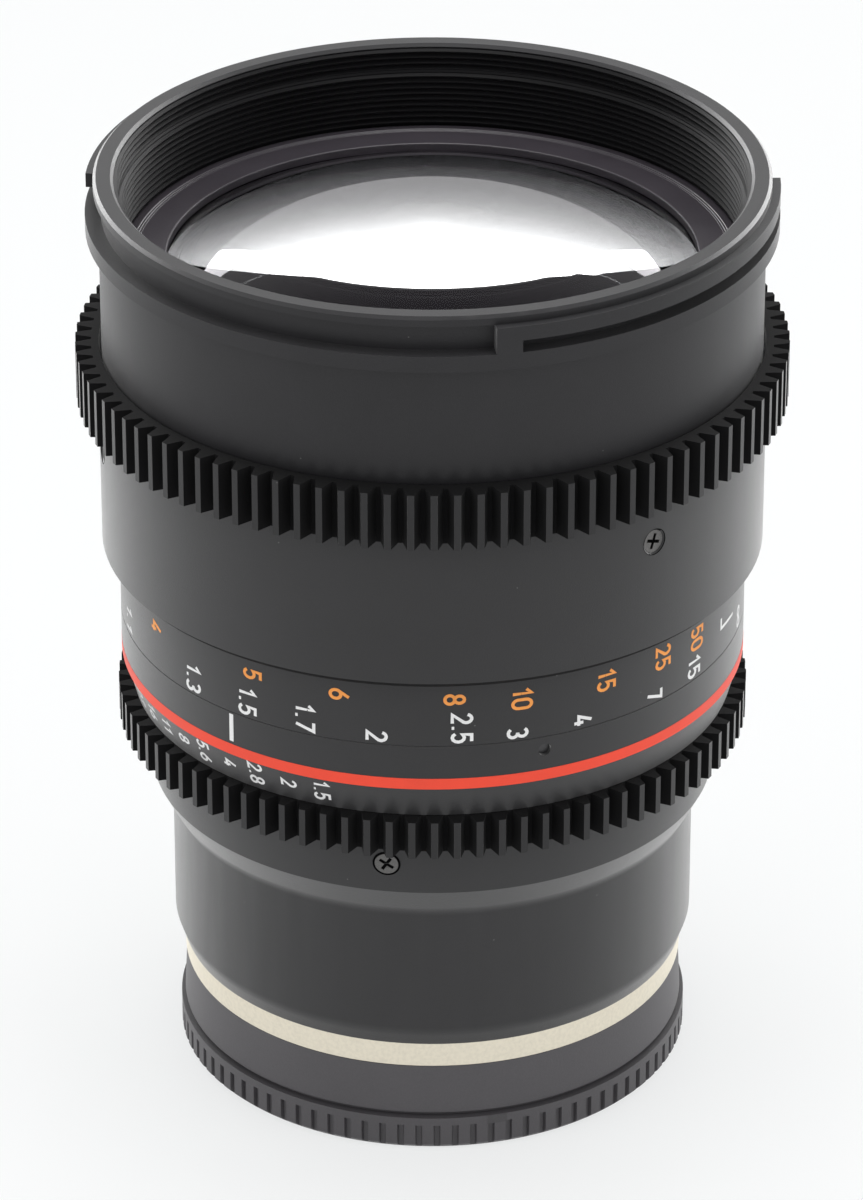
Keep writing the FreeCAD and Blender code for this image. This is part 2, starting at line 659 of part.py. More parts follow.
def rear_cap():
    mouth = flange - s.turning_gap / 2
    waist = s.cap_flange_height + s.cap_groove_height
    foot = cap_flange_radius - s.cap_edge_chamfer
    body = turned("rear_cap", [
        (ZERO, ZERO), (foot, ZERO), (cap_flange_radius, s.cap_edge_chamfer),
        (cap_flange_radius, s.cap_flange_height), (cap_waist_radius, s.cap_flange_height),
        (cap_waist_radius, waist), (cap_side_radius, waist), (cap_mouth_radius, mouth),
        (cap_bore_radius, mouth), (cap_bore_radius, s.cap_base_thickness),
        (ZERO, s.cap_base_thickness)])
    groove = level_sketch(body, "grip_gap", s.cap_grip_height)
    inner = cap_flange_radius - s.cap_groove_depth
    outer = cap_flange_radius + s.cap_groove_depth
    half = s.cap_groove_width / 2
    outline(groove, [(inner, -half / 2), (outer, -half), (outer, half), (inner, half / 2)])
    pocket = body.newObject("PartDesign::Pocket", "grip_cut")
    pocket.Profile = groove
    pocket.setExpression("Length", s.cap_grip_height.text)
    repeated(body, "grip", pocket, s.cap_grooves)
    lug_inner = bayonet_lug_radius - (bayonet_lug_radius - bayonet_tube_radius) / 2
    lug_head = mouth - s.free_gap
    lug_low = lug_head - s.cap_lug_height
    gap = (FULL_TURN / 3 - s.bayonet_lug_angle - s.cap_lug_angle) / 2
    first = s.bayonet_turn + s.bayonet_lug_angle + gap
    lug = arc_feature(
        body, "cap_lug", "PartDesign::Revolution",
        [(lug_inner, lug_low), (cap_bore_radius + s.ledge / 2, lug_low),
         (cap_bore_radius + s.ledge / 2, lug_head), (lug_inner, lug_head)],
        first, s.cap_lug_angle)
    repeated(body, "cap_lugs", lug, as_size(3))
    keep(body)


# Bayonet ring, mount tube and baffle

def bayonet_mount():
    foot = flange - s.bayonet_tube_length
    body = turned("bayonet_mount", [
        (throat_radius, foot), (bayonet_tube_radius, foot), (bayonet_tube_radius, flange),
        (s.flange_radius, flange), (s.flange_radius, tube_foot), (throat_radius, tube_foot)])
    lug_head = flange - s.bayonet_lug_drop
    lug_low = lug_head - s.bayonet_lug_height
    inner = bayonet_tube_radius - s.ledge / 2
    lug = arc_feature(
        body, "mount_lug", "PartDesign::Revolution",
        [(inner, lug_low), (bayonet_lug_radius, lug_low),
         (bayonet_lug_radius, lug_head), (inner, lug_head)],
        s.bayonet_turn, s.bayonet_lug_angle)
    repeated(body, "mount_lugs", lug, as_size(3))
    holes = mount_screws("mount_hole")
    keep(cut("bayonet_mount", body, holes), mount_screws("mount_screws"))


def mount_screws(name):
    """Countersunk screws up through the bayonet ring into the mount tube, their heads in the flange."""
    made = []
    count = int(s.mount_screw_count.value)
    for number in range(count):
        azimuth = FULL_TURN * (number + 0.5) / count
        place = (mount_screw_circle * cosine(azimuth), mount_screw_circle * sine(azimuth), flange)
        head = document.addObject("Part::Cone", f"{name}_head_{number + 1}")
        head.setExpression("Radius1", s.screw_head_radius.text)
        head.setExpression("Radius2", s.screw_shank_radius.text)
        head.setExpression("Height", s.screw_head_height.text)
        seat(head, place, spin(azimuth))
        shank = cylinder(f"{name}_shank_{number + 1}", s.screw_shank_radius,
                         s.mount_ring_height + s.screw_bite)
        seat(shank, place, spin(azimuth))
        made.append(fused(f"{name}_{number + 1}", [head, shank]))
    return grouped(name, made)


def mount_tube():
    spigot_top = barrel_foot + s.tube_spigot_length
    ledge_bore = mount_screw_circle - s.screw_head_radius
    ledge_top = tube_foot + s.screw_bite + s.ledge
    body = turned("mount_tube_blank", [
        (ledge_bore, tube_foot), (tube_foot_radius, tube_foot), (tube_radius, tube_side),
        (tube_radius, flare), (rear_barrel_radius, barrel_foot),
        (tube_spigot_radius, barrel_foot), (tube_spigot_radius, spigot_top),
        (spigot_bore, spigot_top), (spigot_bore, barrel_foot), (tube_bore_radius, flare),
        (tube_bore_radius, ledge_top), (ledge_bore, ledge_top)])
    bored = document.addObject("Part::Cut", "bored_mount_tube")
    bored.Base = body
    bored.Tool = mount_screws("tube_foot_hole")
    keep(cut("mount_tube", bored, rear_screws("tube_screw_hole")))


def rear_screws(name, slack=0.0):
    outside = rear_barrel_radius + (
        rear_barrel_top_radius - rear_barrel_radius) * s.rear_screw_level / s.rear_barrel_height
    return screws(name, thirds(s.rear_screw_azimuth), outside, barrel_foot + s.rear_screw_level,
                  outside - spigot_bore, slack)


def rear_baffle():
    low = tube_foot + s.baffle_level
    high = low + s.baffle_thickness
    disc = turned("rear_baffle", [
        (ZERO, low), (tube_bore_radius, low), (tube_bore_radius, high), (ZERO, high)])
    half_width = (tube_bore_radius - s.baffle_rim) * cosine(s.baffle_corner_angle)
    half_depth = (tube_bore_radius - s.baffle_rim) * sine(s.baffle_corner_angle)
    window = box("baffle_window", half_width * 2, half_depth * 2, s.baffle_thickness * 3)
    seat(window, (-half_width, -half_depth, low - s.baffle_thickness), spin(0))
    keep(cut("rear_baffle", disc, window))


# Rear barrel, its neck and the rear cell

def rear_barrel():
    body = turned("rear_barrel", [
        (tube_spigot_radius, barrel_foot), (rear_barrel_radius, barrel_foot),
        (rear_barrel_top_radius, neck_foot), (neck_radius, neck_foot),
        (neck_radius, index_foot), (neck_bore, index_foot), (neck_bore, web_top),
        (rear_cell_radius, web_top), (rear_cell_radius, web_foot),
        (tube_spigot_radius, web_foot)])
    slot_half = s.aperture_pin_radius + s.free_gap
    slack = as_size(math.degrees(1)) * slot_half / neck_bore
    arc_feature(
        body, "neck_slot", "PartDesign::Groove",
        [(neck_bore - s.ledge, aperture_pin_level - slot_half),
         (neck_radius + s.ledge, aperture_pin_level - slot_half),
         (neck_radius + s.ledge, aperture_pin_level + slot_half),
         (neck_bore - s.ledge, aperture_pin_level + slot_half)],
        s.aperture_pin_azimuth - s.aperture_open_angle - slack, stop_range + slack * 2)
    keep(cut("rear_barrel", body, rear_screws("barrel_screw_hole", s.screw_clearance)))
    keep(rear_screws("rear_barrel_screws"))


def rear_cell():
    pair_front = web_top + s.rear_rim_rise - sag(s.seventh_front_curve, seventh_rim)
    pair_middle = pair_front - s.seventh_thickness
    pair_back = pair_middle - biconvex(s.eighth_edge, s.rear_pair_curve, s.eighth_back_curve, seventh_rim)
    last_front = pair_back - s.eighth_air
    last_back = last_front - biconvex(s.ninth_edge, s.ninth_front_curve, s.ninth_back_curve, ninth_rim)
    cemented = (pair_middle, s.rear_pair_curve, 1)
    pair_end = (pair_back, s.eighth_back_curve, -1)
    last_face = (last_front, s.ninth_front_curve, 1)
    last_end = (last_back, s.ninth_back_curve, -1)
    keep(glass("rear_glass_1", seventh_rim, (pair_front, s.seventh_front_curve, -1), cemented))
    keep(glass("rear_glass_2", seventh_rim, cemented, pair_end))
    keep(glass("rear_glass_3", ninth_rim, last_face, last_end))
    outer = ninth_rim + s.rear_cell_wall + s.ledge
    pair_ledge = seventh_rim - s.ledge
    last_ledge = ninth_rim - s.ledge
    foot = last_back - s.ledge / 2
    keep(turned("rear_cell", [
        (seventh_rim, web_top), (seventh_rim, edge(*pair_end, pair_ledge)),
        (pair_ledge, edge(*pair_end, pair_ledge)), (last_ledge, edge(*pair_end, last_ledge) - s.ledge / 2),
        (last_ledge, edge(*last_face, last_ledge)), (ninth_rim, edge(*last_face, last_ledge)),
        (ninth_rim, foot), (outer, foot), (outer, web_foot - s.web_thickness),
        (rear_cell_flange, web_foot - s.web_thickness), (rear_cell_flange, web_foot),
        (rear_cell_radius, web_foot), (rear_cell_radius, web_top)]))
    keep(turned("rear_cell_ring", [
        (last_ledge, foot), (ninth_rim, foot), (ninth_rim, edge(*last_end, last_ledge)),
        (last_ledge, edge(*last_end, last_ledge))]))


# Iris: housing, eight blades, cam ring and keeper

def iris_housing():
    outside = neck_bore
    inside = outside - s.iris_wall
    clear = iris_clear_radius + s.free_gap
    top = iris_floor + s.iris_room
    body = turned("iris_housing", [
        (clear, web_top), (outside, web_top), (outside, top), (inside, top),
        (inside, iris_floor), (clear, iris_floor)])
    holes = []
    for number in range(int(s.iris_blades.value)):
        azimuth = blade_azimuth(number)
        hole = cylinder(f"pivot_hole_{number + 1}", s.blade_pin_radius + s.running_gap, s.iris_plate * 3)
        seat(hole, (blade_pivot_circle * cosine(azimuth), blade_pivot_circle * sine(azimuth),
                    web_top - s.iris_plate), spin(azimuth))
        holes.append(hole)
    keep(cut("iris_housing", body, fused("pivot_holes", holes)))
    low = cam_ring_top + s.turning_gap
    keep(turned("iris_keeper", [
        (clear, low), (neck_bore, low), (neck_bore, index_foot - s.turning_gap),
        (clear, index_foot - s.turning_gap)]))


def blade_azimuth(number):
    return FULL_TURN * number / s.iris_blades


def drive_pin_angle():
    """Direction from a blade's pivot to its drive pin, with the iris open, from the outward radius."""
    return HALF_TURN / 2 - s.blade_swing_angle / 2


def iris_blade(number):
    name = f"iris_blade_{number + 1}"
    thick = s.blade_thickness
    level = iris_floor + s.blade_pitch * (number + 0.5)
    band = cylinder(f"{name}_outer", blade_outer_radius, thick, s.blade_sweep_angle)
    hollow = cylinder(f"{name}_inner", iris_clear_radius, thick, s.blade_sweep_angle)
    for piece in (band, hollow):
        seat(piece, (-blade_pivot_circle, ZERO, ZERO), spin(-s.blade_tail_angle))
    strip = document.addObject("Part::Cut", f"{name}_band")
    strip.Base = band
    strip.Tool = hollow
    lean = drive_pin_angle()
    pin_place = (s.blade_arm * cosine(lean), s.blade_arm * sine(lean), ZERO)
    ear_radius = s.blade_head_radius / 2
    head = cylinder(f"{name}_head", s.blade_head_radius, thick)
    ear = cylinder(f"{name}_ear", ear_radius, thick)
    seat(ear, pin_place, spin(0))
    arm = box(f"{name}_arm", s.blade_arm, ear_radius * 2, thick)
    seat(arm, (ear_radius * sine(lean), -ear_radius * cosine(lean), ZERO), spin(lean))
    pivot_drop = level - web_top - s.iris_plate / 3
    pivot = cylinder(f"{name}_pivot", s.blade_pin_radius, pivot_drop)
    seat(pivot, (ZERO, ZERO, -pivot_drop), spin(0))
    pin = cylinder(f"{name}_pin", s.blade_pin_radius, cam_ring_top - level)
    seat(pin, pin_place, spin(0))
    blade = fused(name, [strip, head, ear, arm, pivot, pin])
    azimuth = blade_azimuth(number)
    rest = s.blade_swing_angle * s.aperture_open_angle / stop_range
    seat(blade, (blade_pivot_circle * cosine(azimuth), blade_pivot_circle * sine(azimuth), level),
         spin(azimuth + rest))
    keep(blade)


def cam_slot_shape():
    """The eight slots of the iris cam ring, each a bent channel along its pin's path."""
    pivot = FreeCAD.Vector(blade_pivot_circle.value, 0, 0)
    upward = FreeCAD.Vector(0, 0, 1)
    lean = drive_pin_angle().value
    ratio = s.blade_swing_angle.value / stop_range.value

    def pin_in_ring(turn):
        """Where the pin stands in the ring, with the ring turned this far from rest."""
        swing = ratio * (turn + s.aperture_open_angle.value)
        arm = FreeCAD.Rotation(upward, lean + swing).multVec(FreeCAD.Vector(s.blade_arm.value, 0, 0))
        return FreeCAD.Rotation(upward, -turn).multVec(pivot + arm)

    first = -s.aperture_open_angle.value
    last = s.aperture_close_angle.value
    ends = [pin_in_ring(turn) for turn in (first, (first + last) / 2, last)]
    path = Part.Arc(*ends).toShape().Curve
    off = max(abs(path.Center.distanceToPoint(pin_in_ring(first + (last - first) * part / 8)) - path.Radius)
              for part in range(9))
    print(f"iris slots leave their pins' paths by {off:.3f} mm at most")
    half = s.blade_pin_radius.value + s.cam_slot_play.value
    low = cam_ring_foot.value - s.iris_cam_thickness.value

    def offset(point, by):
        return point + (point - path.Center).normalize() * by

    sides = [[offset(point, by) for point in ends] for by in (half, -half)]
    along = [(ends[0] - path.Center).cross(upward).normalize() * half,
             (ends[2] - path.Center).cross(upward).normalize() * half]
    if along[0].dot(ends[2] - ends[0]) > 0:
        along[0] = -along[0]
    if along[1].dot(ends[0] - ends[2]) > 0:
        along[1] = -along[1]
    wire = Part.Wire([
        Part.Arc(*sides[0]).toShape(),
        Part.Arc(sides[0][2], ends[2] + along[1], sides[1][2]).toShape(),
        Part.Arc(*reversed(sides[1])).toShape(),
        Part.Arc(sides[1][0], ends[0] + along[0], sides[0][0]).toShape()])
    slot = Part.Face(wire).extrude(upward * s.iris_cam_thickness.value * 3)
    slot.translate(upward * low)
    made = []
    for number in range(int(s.iris_blades.value)):
        turned_slot = slot.copy()
        turned_slot.rotate(FreeCAD.Vector(), upward, blade_azimuth(number).value)
        made.append(turned_slot)
    return Part.makeCompound(made)


def iris_cam_ring():
    clear = iris_clear_radius + s.free_gap
    outside = neck_bore - s.running_gap
    body = turned("iris_cam_blank", [
        (clear, cam_ring_foot), (outside, cam_ring_foot), (outside, cam_ring_top),
        (clear, cam_ring_top)])
    slots = document.addObject("Part::Feature", "iris_slots")
    slots.Shape = cam_slot_shape()
    slotted = document.addObject("Part::Cut", "slotted_cam_ring")
    slotted.Base = body
    slotted.Tool = slots
    keep(cut("iris_cam_ring", slotted, aperture_pin("cam_pin_hole")))


def aperture_pin(name):
    inner = neck_bore - s.ledge * 2
    pin = cylinder(name, s.aperture_pin_radius, s.ledge * 2 + s.neck_wall + s.running_gap + s.ledge)
    radial(pin, s.aperture_pin_azimuth, inner, aperture_pin_level)
    pin.Label = name
    return pin


# Aperture ring

def aperture_ring():
    tip = s.gear_module * (aperture_teeth + 2) / 2
    body = turned("aperture_ring", [
        (aperture_bore, aperture_foot), (tip, aperture_foot), (tip, aperture_band),
        (aperture_band_foot_radius, aperture_band), (aperture_band_radius, aperture_top),
        (aperture_bore, aperture_top)])
    tooth_gaps(body, "aperture", aperture_teeth, aperture_band, s.aperture_gear_height,
               s.aperture_tooth_turn)
    keep(cut("aperture_ring", body, aperture_pin("ring_pin_hole")))
    keep(aperture_pin("aperture_drive_pin"))


# Index ring and guide tube

def index_ring():
    clear = neck_bore + s.running_gap
    body = turned("index_ring", [
        (clear, index_foot), (barrel_radius, index_foot), (barrel_radius, index_top),
        (guide_radius, index_top), (guide_radius, guide_foot), (clear, guide_foot)])
    keep(cut("index_ring", body, grub_screws("grub_hole", ZERO)))
    keep(grub_screws("index_grub_screws", s.grub_recess))


def grub_screws(name, recess):
    made = []
    for number, azimuth in enumerate(thirds(s.grub_azimuth), 1):
        length = barrel_radius - guide_radius - recess
        grub = cylinder(f"{name}_{number}", s.grub_radius, length)
        radial(grub, azimuth, guide_radius, index_foot + s.grub_level)
        made.append(grub)
    return grouped(name, made)


def guide_tube():
    flange_low = flange_foot - s.guide_flange_height
    body = turned("guide_tube_blank", [
        (guide_bore_radius, guide_foot), (guide_radius, guide_foot), (guide_radius, flange_low),
        (front_bore, flange_low), (front_bore, flange_foot), (guide_bore_radius, flange_foot)])
    half = s.roller_radius + s.running_gap
    low = roller_level - focus_fall - s.roller_radius - s.free_gap
    high = roller_level + focus_rise + s.roller_radius + s.free_gap
    slots = []
    for number, azimuth in enumerate(thirds(s.roller_azimuth), 1):
        inner = guide_bore_radius - s.guide_wall
        slot = box(f"guide_slot_{number}", s.guide_wall * 3, half * 2, high - low)
        seat(slot, (inner * cosine(azimuth) + half * sine(azimuth),
                    inner * sine(azimuth) - half * cosine(azimuth), low), spin(azimuth))
        slots.append(slot)
    grooved = document.addObject("Part::Cut", "slotted_guide_tube")
    grooved.Base = body
    grooved.Tool = fused("guide_slots", slots)
    keep(cut("guide_tube", grooved, guide_screws("guide_screw_hole")))
    keep(guide_screws("guide_tube_screws"))


def guide_screws(name):
    """Screws up through the guide tube's flange into the front barrel's inner flange."""
    made = []
    circle = (guide_radius + front_bore) / 2
    head_radius = (front_bore - guide_radius) / 2 - s.turning_gap
    low = flange_foot - s.guide_flange_height
    for number, azimuth in enumerate(thirds(s.guide_screw_azimuth), 1):
        place = (circle * cosine(azimuth), circle * sine(azimuth), low)
        shank = cylinder(f"{name}_shank_{number}", s.screw_shank_radius,
                         s.guide_flange_height + s.screw_bite)
        seat(shank, place, spin(azimuth))
        head = cylinder(f"{name}_head_{number}", head_radius, s.screw_head_height)
        seat(head, (place[0], place[1], low - s.screw_head_height), spin(azimuth))
        made.append(fused(f"{name}_{number}", [shank, head]))
    return grouped(name, made)


# Focus ring, scale ring and cam ring

def focus_screws(name, slack=0.0):
    return screws(name, thirds(s.focus_screw_azimuth), sleeve_radius, gear_foot - s.focus_screw_drop,
                  sleeve_radius - cam_bore - s.free_gap, slack)


def focus_ring():
    tip = s.gear_module * (focus_teeth + 2) / 2
    body = turned("focus_ring", [
        (barrel_radius, sleeve_foot), (sleeve_radius - s.sleeve_chamfer, sleeve_foot),
        (sleeve_radius, sleeve_foot + s.sleeve_chamfer), (sleeve_radius, gear_foot),
        (tip, gear_foot), (tip, gear_top), (focus_gear_bore, gear_top), (focus_gear_bore, gear_foot),
        (barrel_radius, gear_foot)])
    tooth_gaps(body, "focus", focus_teeth, gear_top, s.focus_gear_height, s.focus_tooth_turn)
    keep(cut("focus_ring", body, focus_screws("ring_screw_hole")))
    scale = turned("focus_scale_ring", [
        (cam_radius, scale_foot), (barrel_radius, scale_foot),
        (barrel_radius, gear_foot - s.ledge), (cam_radius, gear_foot - s.ledge)])
    keep(cut("focus_scale_ring", scale, focus_screws("scale_screw_hole")))
    keep(focus_screws("focus_ring_screws"))


def focus_cam_ring():
    body = turned("focus_cam_ring", [
        (cam_bore, scale_foot), (cam_radius, scale_foot), (cam_radius, gear_foot - s.ledge),
        (cam_bore, gear_foot - s.ledge)])
    lead = s.focus_travel * FULL_TURN / focus_turn
    climb = lead / (cam_bore * (2 * math.pi))
    half = (s.roller_radius + s.running_gap) * root(as_size(1) + climb * climb)
    past = as_size(math.degrees(1)) * (s.roller_radius + s.free_gap) / cam_bore
    top = roller_level + focus_rise + lead * past / FULL_TURN
    start = s.roller_azimuth - s.focus_near_angle - past
    sketch = side_sketch(body, "cam_slot_outline", start)
    outline(sketch, [
        (cam_bore - s.ledge, top - half), (cam_radius + s.ledge, top - half),
        (cam_radius + s.ledge, top + half), (cam_bore - s.ledge, top + half)])
    slot = body.newObject("PartDesign::SubtractiveHelix", "cam_slot")
    slot.Profile = sketch
    slot.ReferenceAxis = (origin_part(body, "Z_Axis"), [""])
    slot.Mode = "pitch-height-angle"
    slot.setExpression("Pitch", lead.text)
    slot.setExpression("Height", (lead * (focus_turn + past * 2) / FULL_TURN).text)
    slot.LeftHanded = True
    slot.Reversed = True
    repeated(body, "cam_slots", slot, as_size(3))
    keep(cut("focus_cam_ring", body, focus_screws("cam_screw_hole")))


# Sliding focus group

def focus_group():
    pair_front = roller_level + s.focus_vertex_rise
    pair_middle = pair_front - s.fourth_thickness
    pair_back = pair_middle - biconvex(s.fifth_edge, s.pair_curve, s.fifth_back_curve, fourth_rim)
    last_front = pair_back - s.fifth_air
    last_back = last_front - biconvex(s.sixth_edge, s.sixth_front_curve, s.sixth_back_curve, sixth_rim)
    face = (pair_front, s.fourth_front_curve, -1)
    cemented = (pair_middle, s.pair_curve, 1)
    pair_end = (pair_back, s.fifth_back_curve, -1)
    last_face = (last_front, s.sixth_front_curve, 1)
    last_end = (last_back, s.sixth_back_curve, -1)
    keep(glass("focus_glass_1", fourth_rim, face, cemented))
    keep(glass("focus_glass_2", fourth_rim, cemented, pair_end))
    keep(glass("focus_glass_3", sixth_rim, last_face, last_end))
    top = edge(*face, fourth_rim) + s.running_gap
    web_low = roller_level - s.focus_web / 2
    web_high = roller_level + s.focus_web / 2
    skirt_low = roller_level - s.focus_cell_fall
    foot = last_back - s.free_gap
    pair_ledge = fourth_rim - s.ledge
    last_ledge = sixth_rim - s.ledge
    cell = turned("focus_cell", [
        (focus_outside, skirt_low), (focus_outside, top), (focus_skirt, top), (focus_skirt, web_high),
        (focus_hub, web_high), (focus_hub, top), (fourth_rim, top),
        (fourth_rim, edge(*pair_end, pair_ledge)),
        (pair_ledge, edge(*pair_end, pair_ledge)), (last_ledge, edge(*pair_end, last_ledge) - s.ledge / 2),
        (last_ledge, edge(*last_face, last_ledge)), (sixth_rim, edge(*last_face, last_ledge)),
        (sixth_rim, foot), (focus_hub, foot), (focus_hub, web_low), (focus_skirt, web_low),
        (focus_skirt, skirt_low)])
    keep(cut("focus_cell", cell, followers("follower_hole", False)))
    keep(followers("cam_followers", True))
    face_ledge = edge(*face, pair_ledge)
    keep(turned("focus_front_ring", [
        (pair_ledge, face_ledge), (fourth_rim, edge(*face, fourth_rim)), (fourth_rim, top),
        (focus_hub, top), (focus_hub, top + s.cell_ring_height),
        (pair_ledge, top + s.cell_ring_height)]))
    keep(turned("focus_rear_ring", [
        (last_ledge, foot), (sixth_rim, foot), (sixth_rim, edge(*last_end, last_ledge)),
        (last_ledge, edge(*last_end, last_ledge))]))


def followers(name, rollers):
    """Cam followers, each a roller on a shank, or only their shanks to bore the cell with."""
    made = []
    shank_length = s.focus_cell_wall + s.ledge
    for number, azimuth in enumerate(thirds(s.roller_azimuth), 1):
        shank = cylinder(f"{name}_shank_{number}", s.roller_shank_radius, shank_length)
        radial(shank, azimuth, focus_outside - shank_length, roller_level)
        if not rollers:
            made.append(shank)
            continue
        roller = cylinder(f"{name}_roller_{number}", s.roller_radius,
                          cam_radius - s.free_gap - focus_outside)
        radial(roller, azimuth, focus_outside, roller_level)
        made.append(fused(f"{name}_{number}", [shank, roller]))
    return grouped(name, made)


# Front barrel, front cell and front glass

def front_barrel():
    thread_foot = rim_top - s.filter_depth
    body = turned("front_barrel", [
        (front_barrel_radius, gear_foot + s.free_gap), (front_barrel_radius, shoulder),
        (shoulder_radius, shoulder), (shoulder_radius, channel), (channel_radius, channel),
        (channel_radius, lug_top), (rim_radius, lug_top),
        (rim_radius, rim_top - s.rim_chamfer), (rim_radius - s.rim_chamfer, rim_top),
        (s.filter_radius + s.rim_chamfer, rim_top), (s.filter_radius, rim_top - s.rim_chamfer),
        (s.filter_radius, thread_foot), (front_bore, thread_foot), (front_bore, cell_flange),
        (front_flange_bore, cell_flange), (front_flange_bore, flange_foot),
        (front_bore, flange_foot), (front_bore, gear_foot + s.free_gap)])
    inside = channel_radius - s.ledge / 2
    rail = [(inside, lug_foot), (shoulder_radius, lug_foot), (shoulder_radius, lug_top),
            (inside, lug_top)]
    stop = [(inside, channel - s.shoulder_height / 2), (shoulder_radius, channel - s.shoulder_height / 2),
            (shoulder_radius, lug_foot + s.lug_height / 2), (inside, lug_foot + s.lug_height / 2)]
    add = "PartDesign::Revolution"
    arc_feature(body, "right_lug", add, rail, s.right_lug_azimuth, s.right_lug_angle)
    arc_feature(body, "lug_stop", add, stop, s.right_lug_azimuth, s.stop_angle)
    arc_feature(body, "left_lug", add, rail, s.left_lug_azimuth, s.left_lug_angle)
    keep(cut("front_barrel", body, guide_screws("flange_screw_hole")))


def front_group():
    second_front = first_end[0] - s.first_air
    second_back = second_front - s.second_thickness
    third_front = second_back - s.second_air
    third_back = third_front - s.third_thickness
    second_face = (second_front, s.second_front_curve, 1)
    second_end = (second_back, s.second_back_curve, 1)
    third_face = (third_front, s.third_front_curve, 1)
    third_end = (third_back, third_back_curve, 1)
    keep(glass("front_glass_1", first_rim, first_face, first_end))
    keep(glass("front_glass_2", second_rim, second_face, second_end))
    keep(glass("front_glass_3", third_rim, third_face, third_end, third_back_clear))
    ring_low = edge(*first_face, front_clear_radius)
    ring_top = ring_low + s.front_ring_height
    third_ledge = edge(*third_end, third_back_clear)
    lip = third_ledge - s.cell_lip
    keep(turned("front_cell", [
        (first_rim, edge(*first_end, first_rim)), (first_rim, ring_low), (front_bore, ring_low),
        (front_bore, cell_flange), (front_cell_radius, cell_flange), (front_cell_radius, lip),
        (third_back_clear, lip), (third_back_clear, third_ledge), (third_rim, third_ledge),
        (third_rim, edge(*second_end, second_rim)),
        (second_rim, edge(*second_end, second_rim)), (second_rim, edge(*first_end, first_rim))]))
    spacer_bore = second_rim - s.ledge * 1.5
    spacer_top = edge(*first_end, second_rim)
    keep(turned("front_spacer", [
        (spacer_bore, edge(*second_face, spacer_bore)), (second_rim, edge(*second_face, spacer_bore)),
        (second_rim, spacer_top), (spacer_bore, spacer_top)]))
    keep(turned("front_retaining_ring", [
        (front_clear_radius, ring_low), (front_bore, ring_low), (front_bore, ring_top),
        (front_clear_radius, ring_top)]))


rear_cap()
bayonet_mount()
mount_tube()
rear_baffle()
rear_barrel()
rear_cell()
iris_housing()
for blade_number in range(int(s.iris_blades.value)):
    iris_blade(blade_number)
iris_cam_ring()
aperture_ring()
index_ring()
guide_tube()
focus_ring()
focus_cam_ring()
focus_group()
front_barrel()
front_group()
document.recompute()

for item in document.Objects:
    if "Invalid" in item.State or "Error" in item.State:
        raise RuntimeError(f"{item.Name} failed: {item.State}")
for piece in nodes:
    if piece.Shape.isNull() or not piece.Shape.isValid():
        raise RuntimeError(f"{piece.Label} has no valid shape")

os.makedirs("parts", exist_ok=True)
for piece in nodes:
    piece.Shape.exportStep(os.path.join("parts", f"{piece.Label}.step"))
print(f"{len(nodes)} nodes written")
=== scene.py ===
import math
from collections import namedtuple

import bmesh
import bpy
from bpy.props import FloatProperty, FloatVectorProperty, IntProperty, PointerProperty
from mathutils import Euler, Matrix, Vector


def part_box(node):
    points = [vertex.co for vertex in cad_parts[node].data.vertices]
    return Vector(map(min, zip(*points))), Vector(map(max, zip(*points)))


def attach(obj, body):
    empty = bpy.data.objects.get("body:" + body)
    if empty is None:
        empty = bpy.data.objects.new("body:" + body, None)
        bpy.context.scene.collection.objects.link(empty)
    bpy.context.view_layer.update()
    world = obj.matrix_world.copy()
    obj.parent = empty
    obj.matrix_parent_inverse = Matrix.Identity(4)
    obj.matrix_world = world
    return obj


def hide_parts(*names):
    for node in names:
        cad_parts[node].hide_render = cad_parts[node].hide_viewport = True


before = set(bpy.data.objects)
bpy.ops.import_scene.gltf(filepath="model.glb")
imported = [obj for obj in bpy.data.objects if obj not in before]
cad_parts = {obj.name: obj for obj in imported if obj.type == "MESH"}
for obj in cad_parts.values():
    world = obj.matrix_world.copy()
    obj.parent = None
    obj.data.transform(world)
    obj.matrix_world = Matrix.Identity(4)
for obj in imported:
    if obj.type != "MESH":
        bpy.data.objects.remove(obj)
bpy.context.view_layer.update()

bl_info = {
    "name": "Cine prime lens looks",
    "version": (1, 0, 0),
    "blender": (4, 5, 0),
    "location": "3D View > Sidebar > Lens",
    "description": "Dresses the packed lens: finishes, grooves, screws, figures, marks and the stage",
    "category": "Object",
}

MM = 0.001
FRONT = -90.0

# The constants give lengths in millimetres and angles in degrees, except where they say otherwise.
# Phi is an angle to the right of the front, and FRONT is the front's own azimuth from X.

# Figures of the scales: what is written, and phi; the feet figures also have the height of their middle
METRES = (("1.1", -74.0), ("1.3", -48.2), ("1.5", -35.0), ("1.7", -23.2), ("2", -9.9), ("2.5", 5.2),
          ("3", 15.2), ("4", 27.7), ("7", 43.7), ("15", 55.0), ("inf", 76.0))
METRE_FOOT = 57.85
FEET = (("4", -60.0, 62.8), ("5", -33.8, 63.3), ("6", -16.6, 63.3), ("8", 3.9, 63.4), ("10", 16.0, 62.85),
        ("15", 32.5, 62.85), ("25", 45.8, 62.85), ("50", 55.8, 62.7))
STOPS = (("1.5", -20.5), ("2", -27.1), ("2.8", -34.1), ("4", -40.2), ("5.6", -46.8), ("8", -52.8),
         ("11", -58.8), ("16", -64.8), ("22", -70.8))
STOP_MIDDLE = 50.15

# The cone that carries the stop figures: heights of its foot and top, radius at its foot, and how much
# wider it is at its top
BAND_FOOT = 47.79
BAND_TOP = 51.80
BAND_RADIUS = 35.0
BAND_FLARE = 1.1

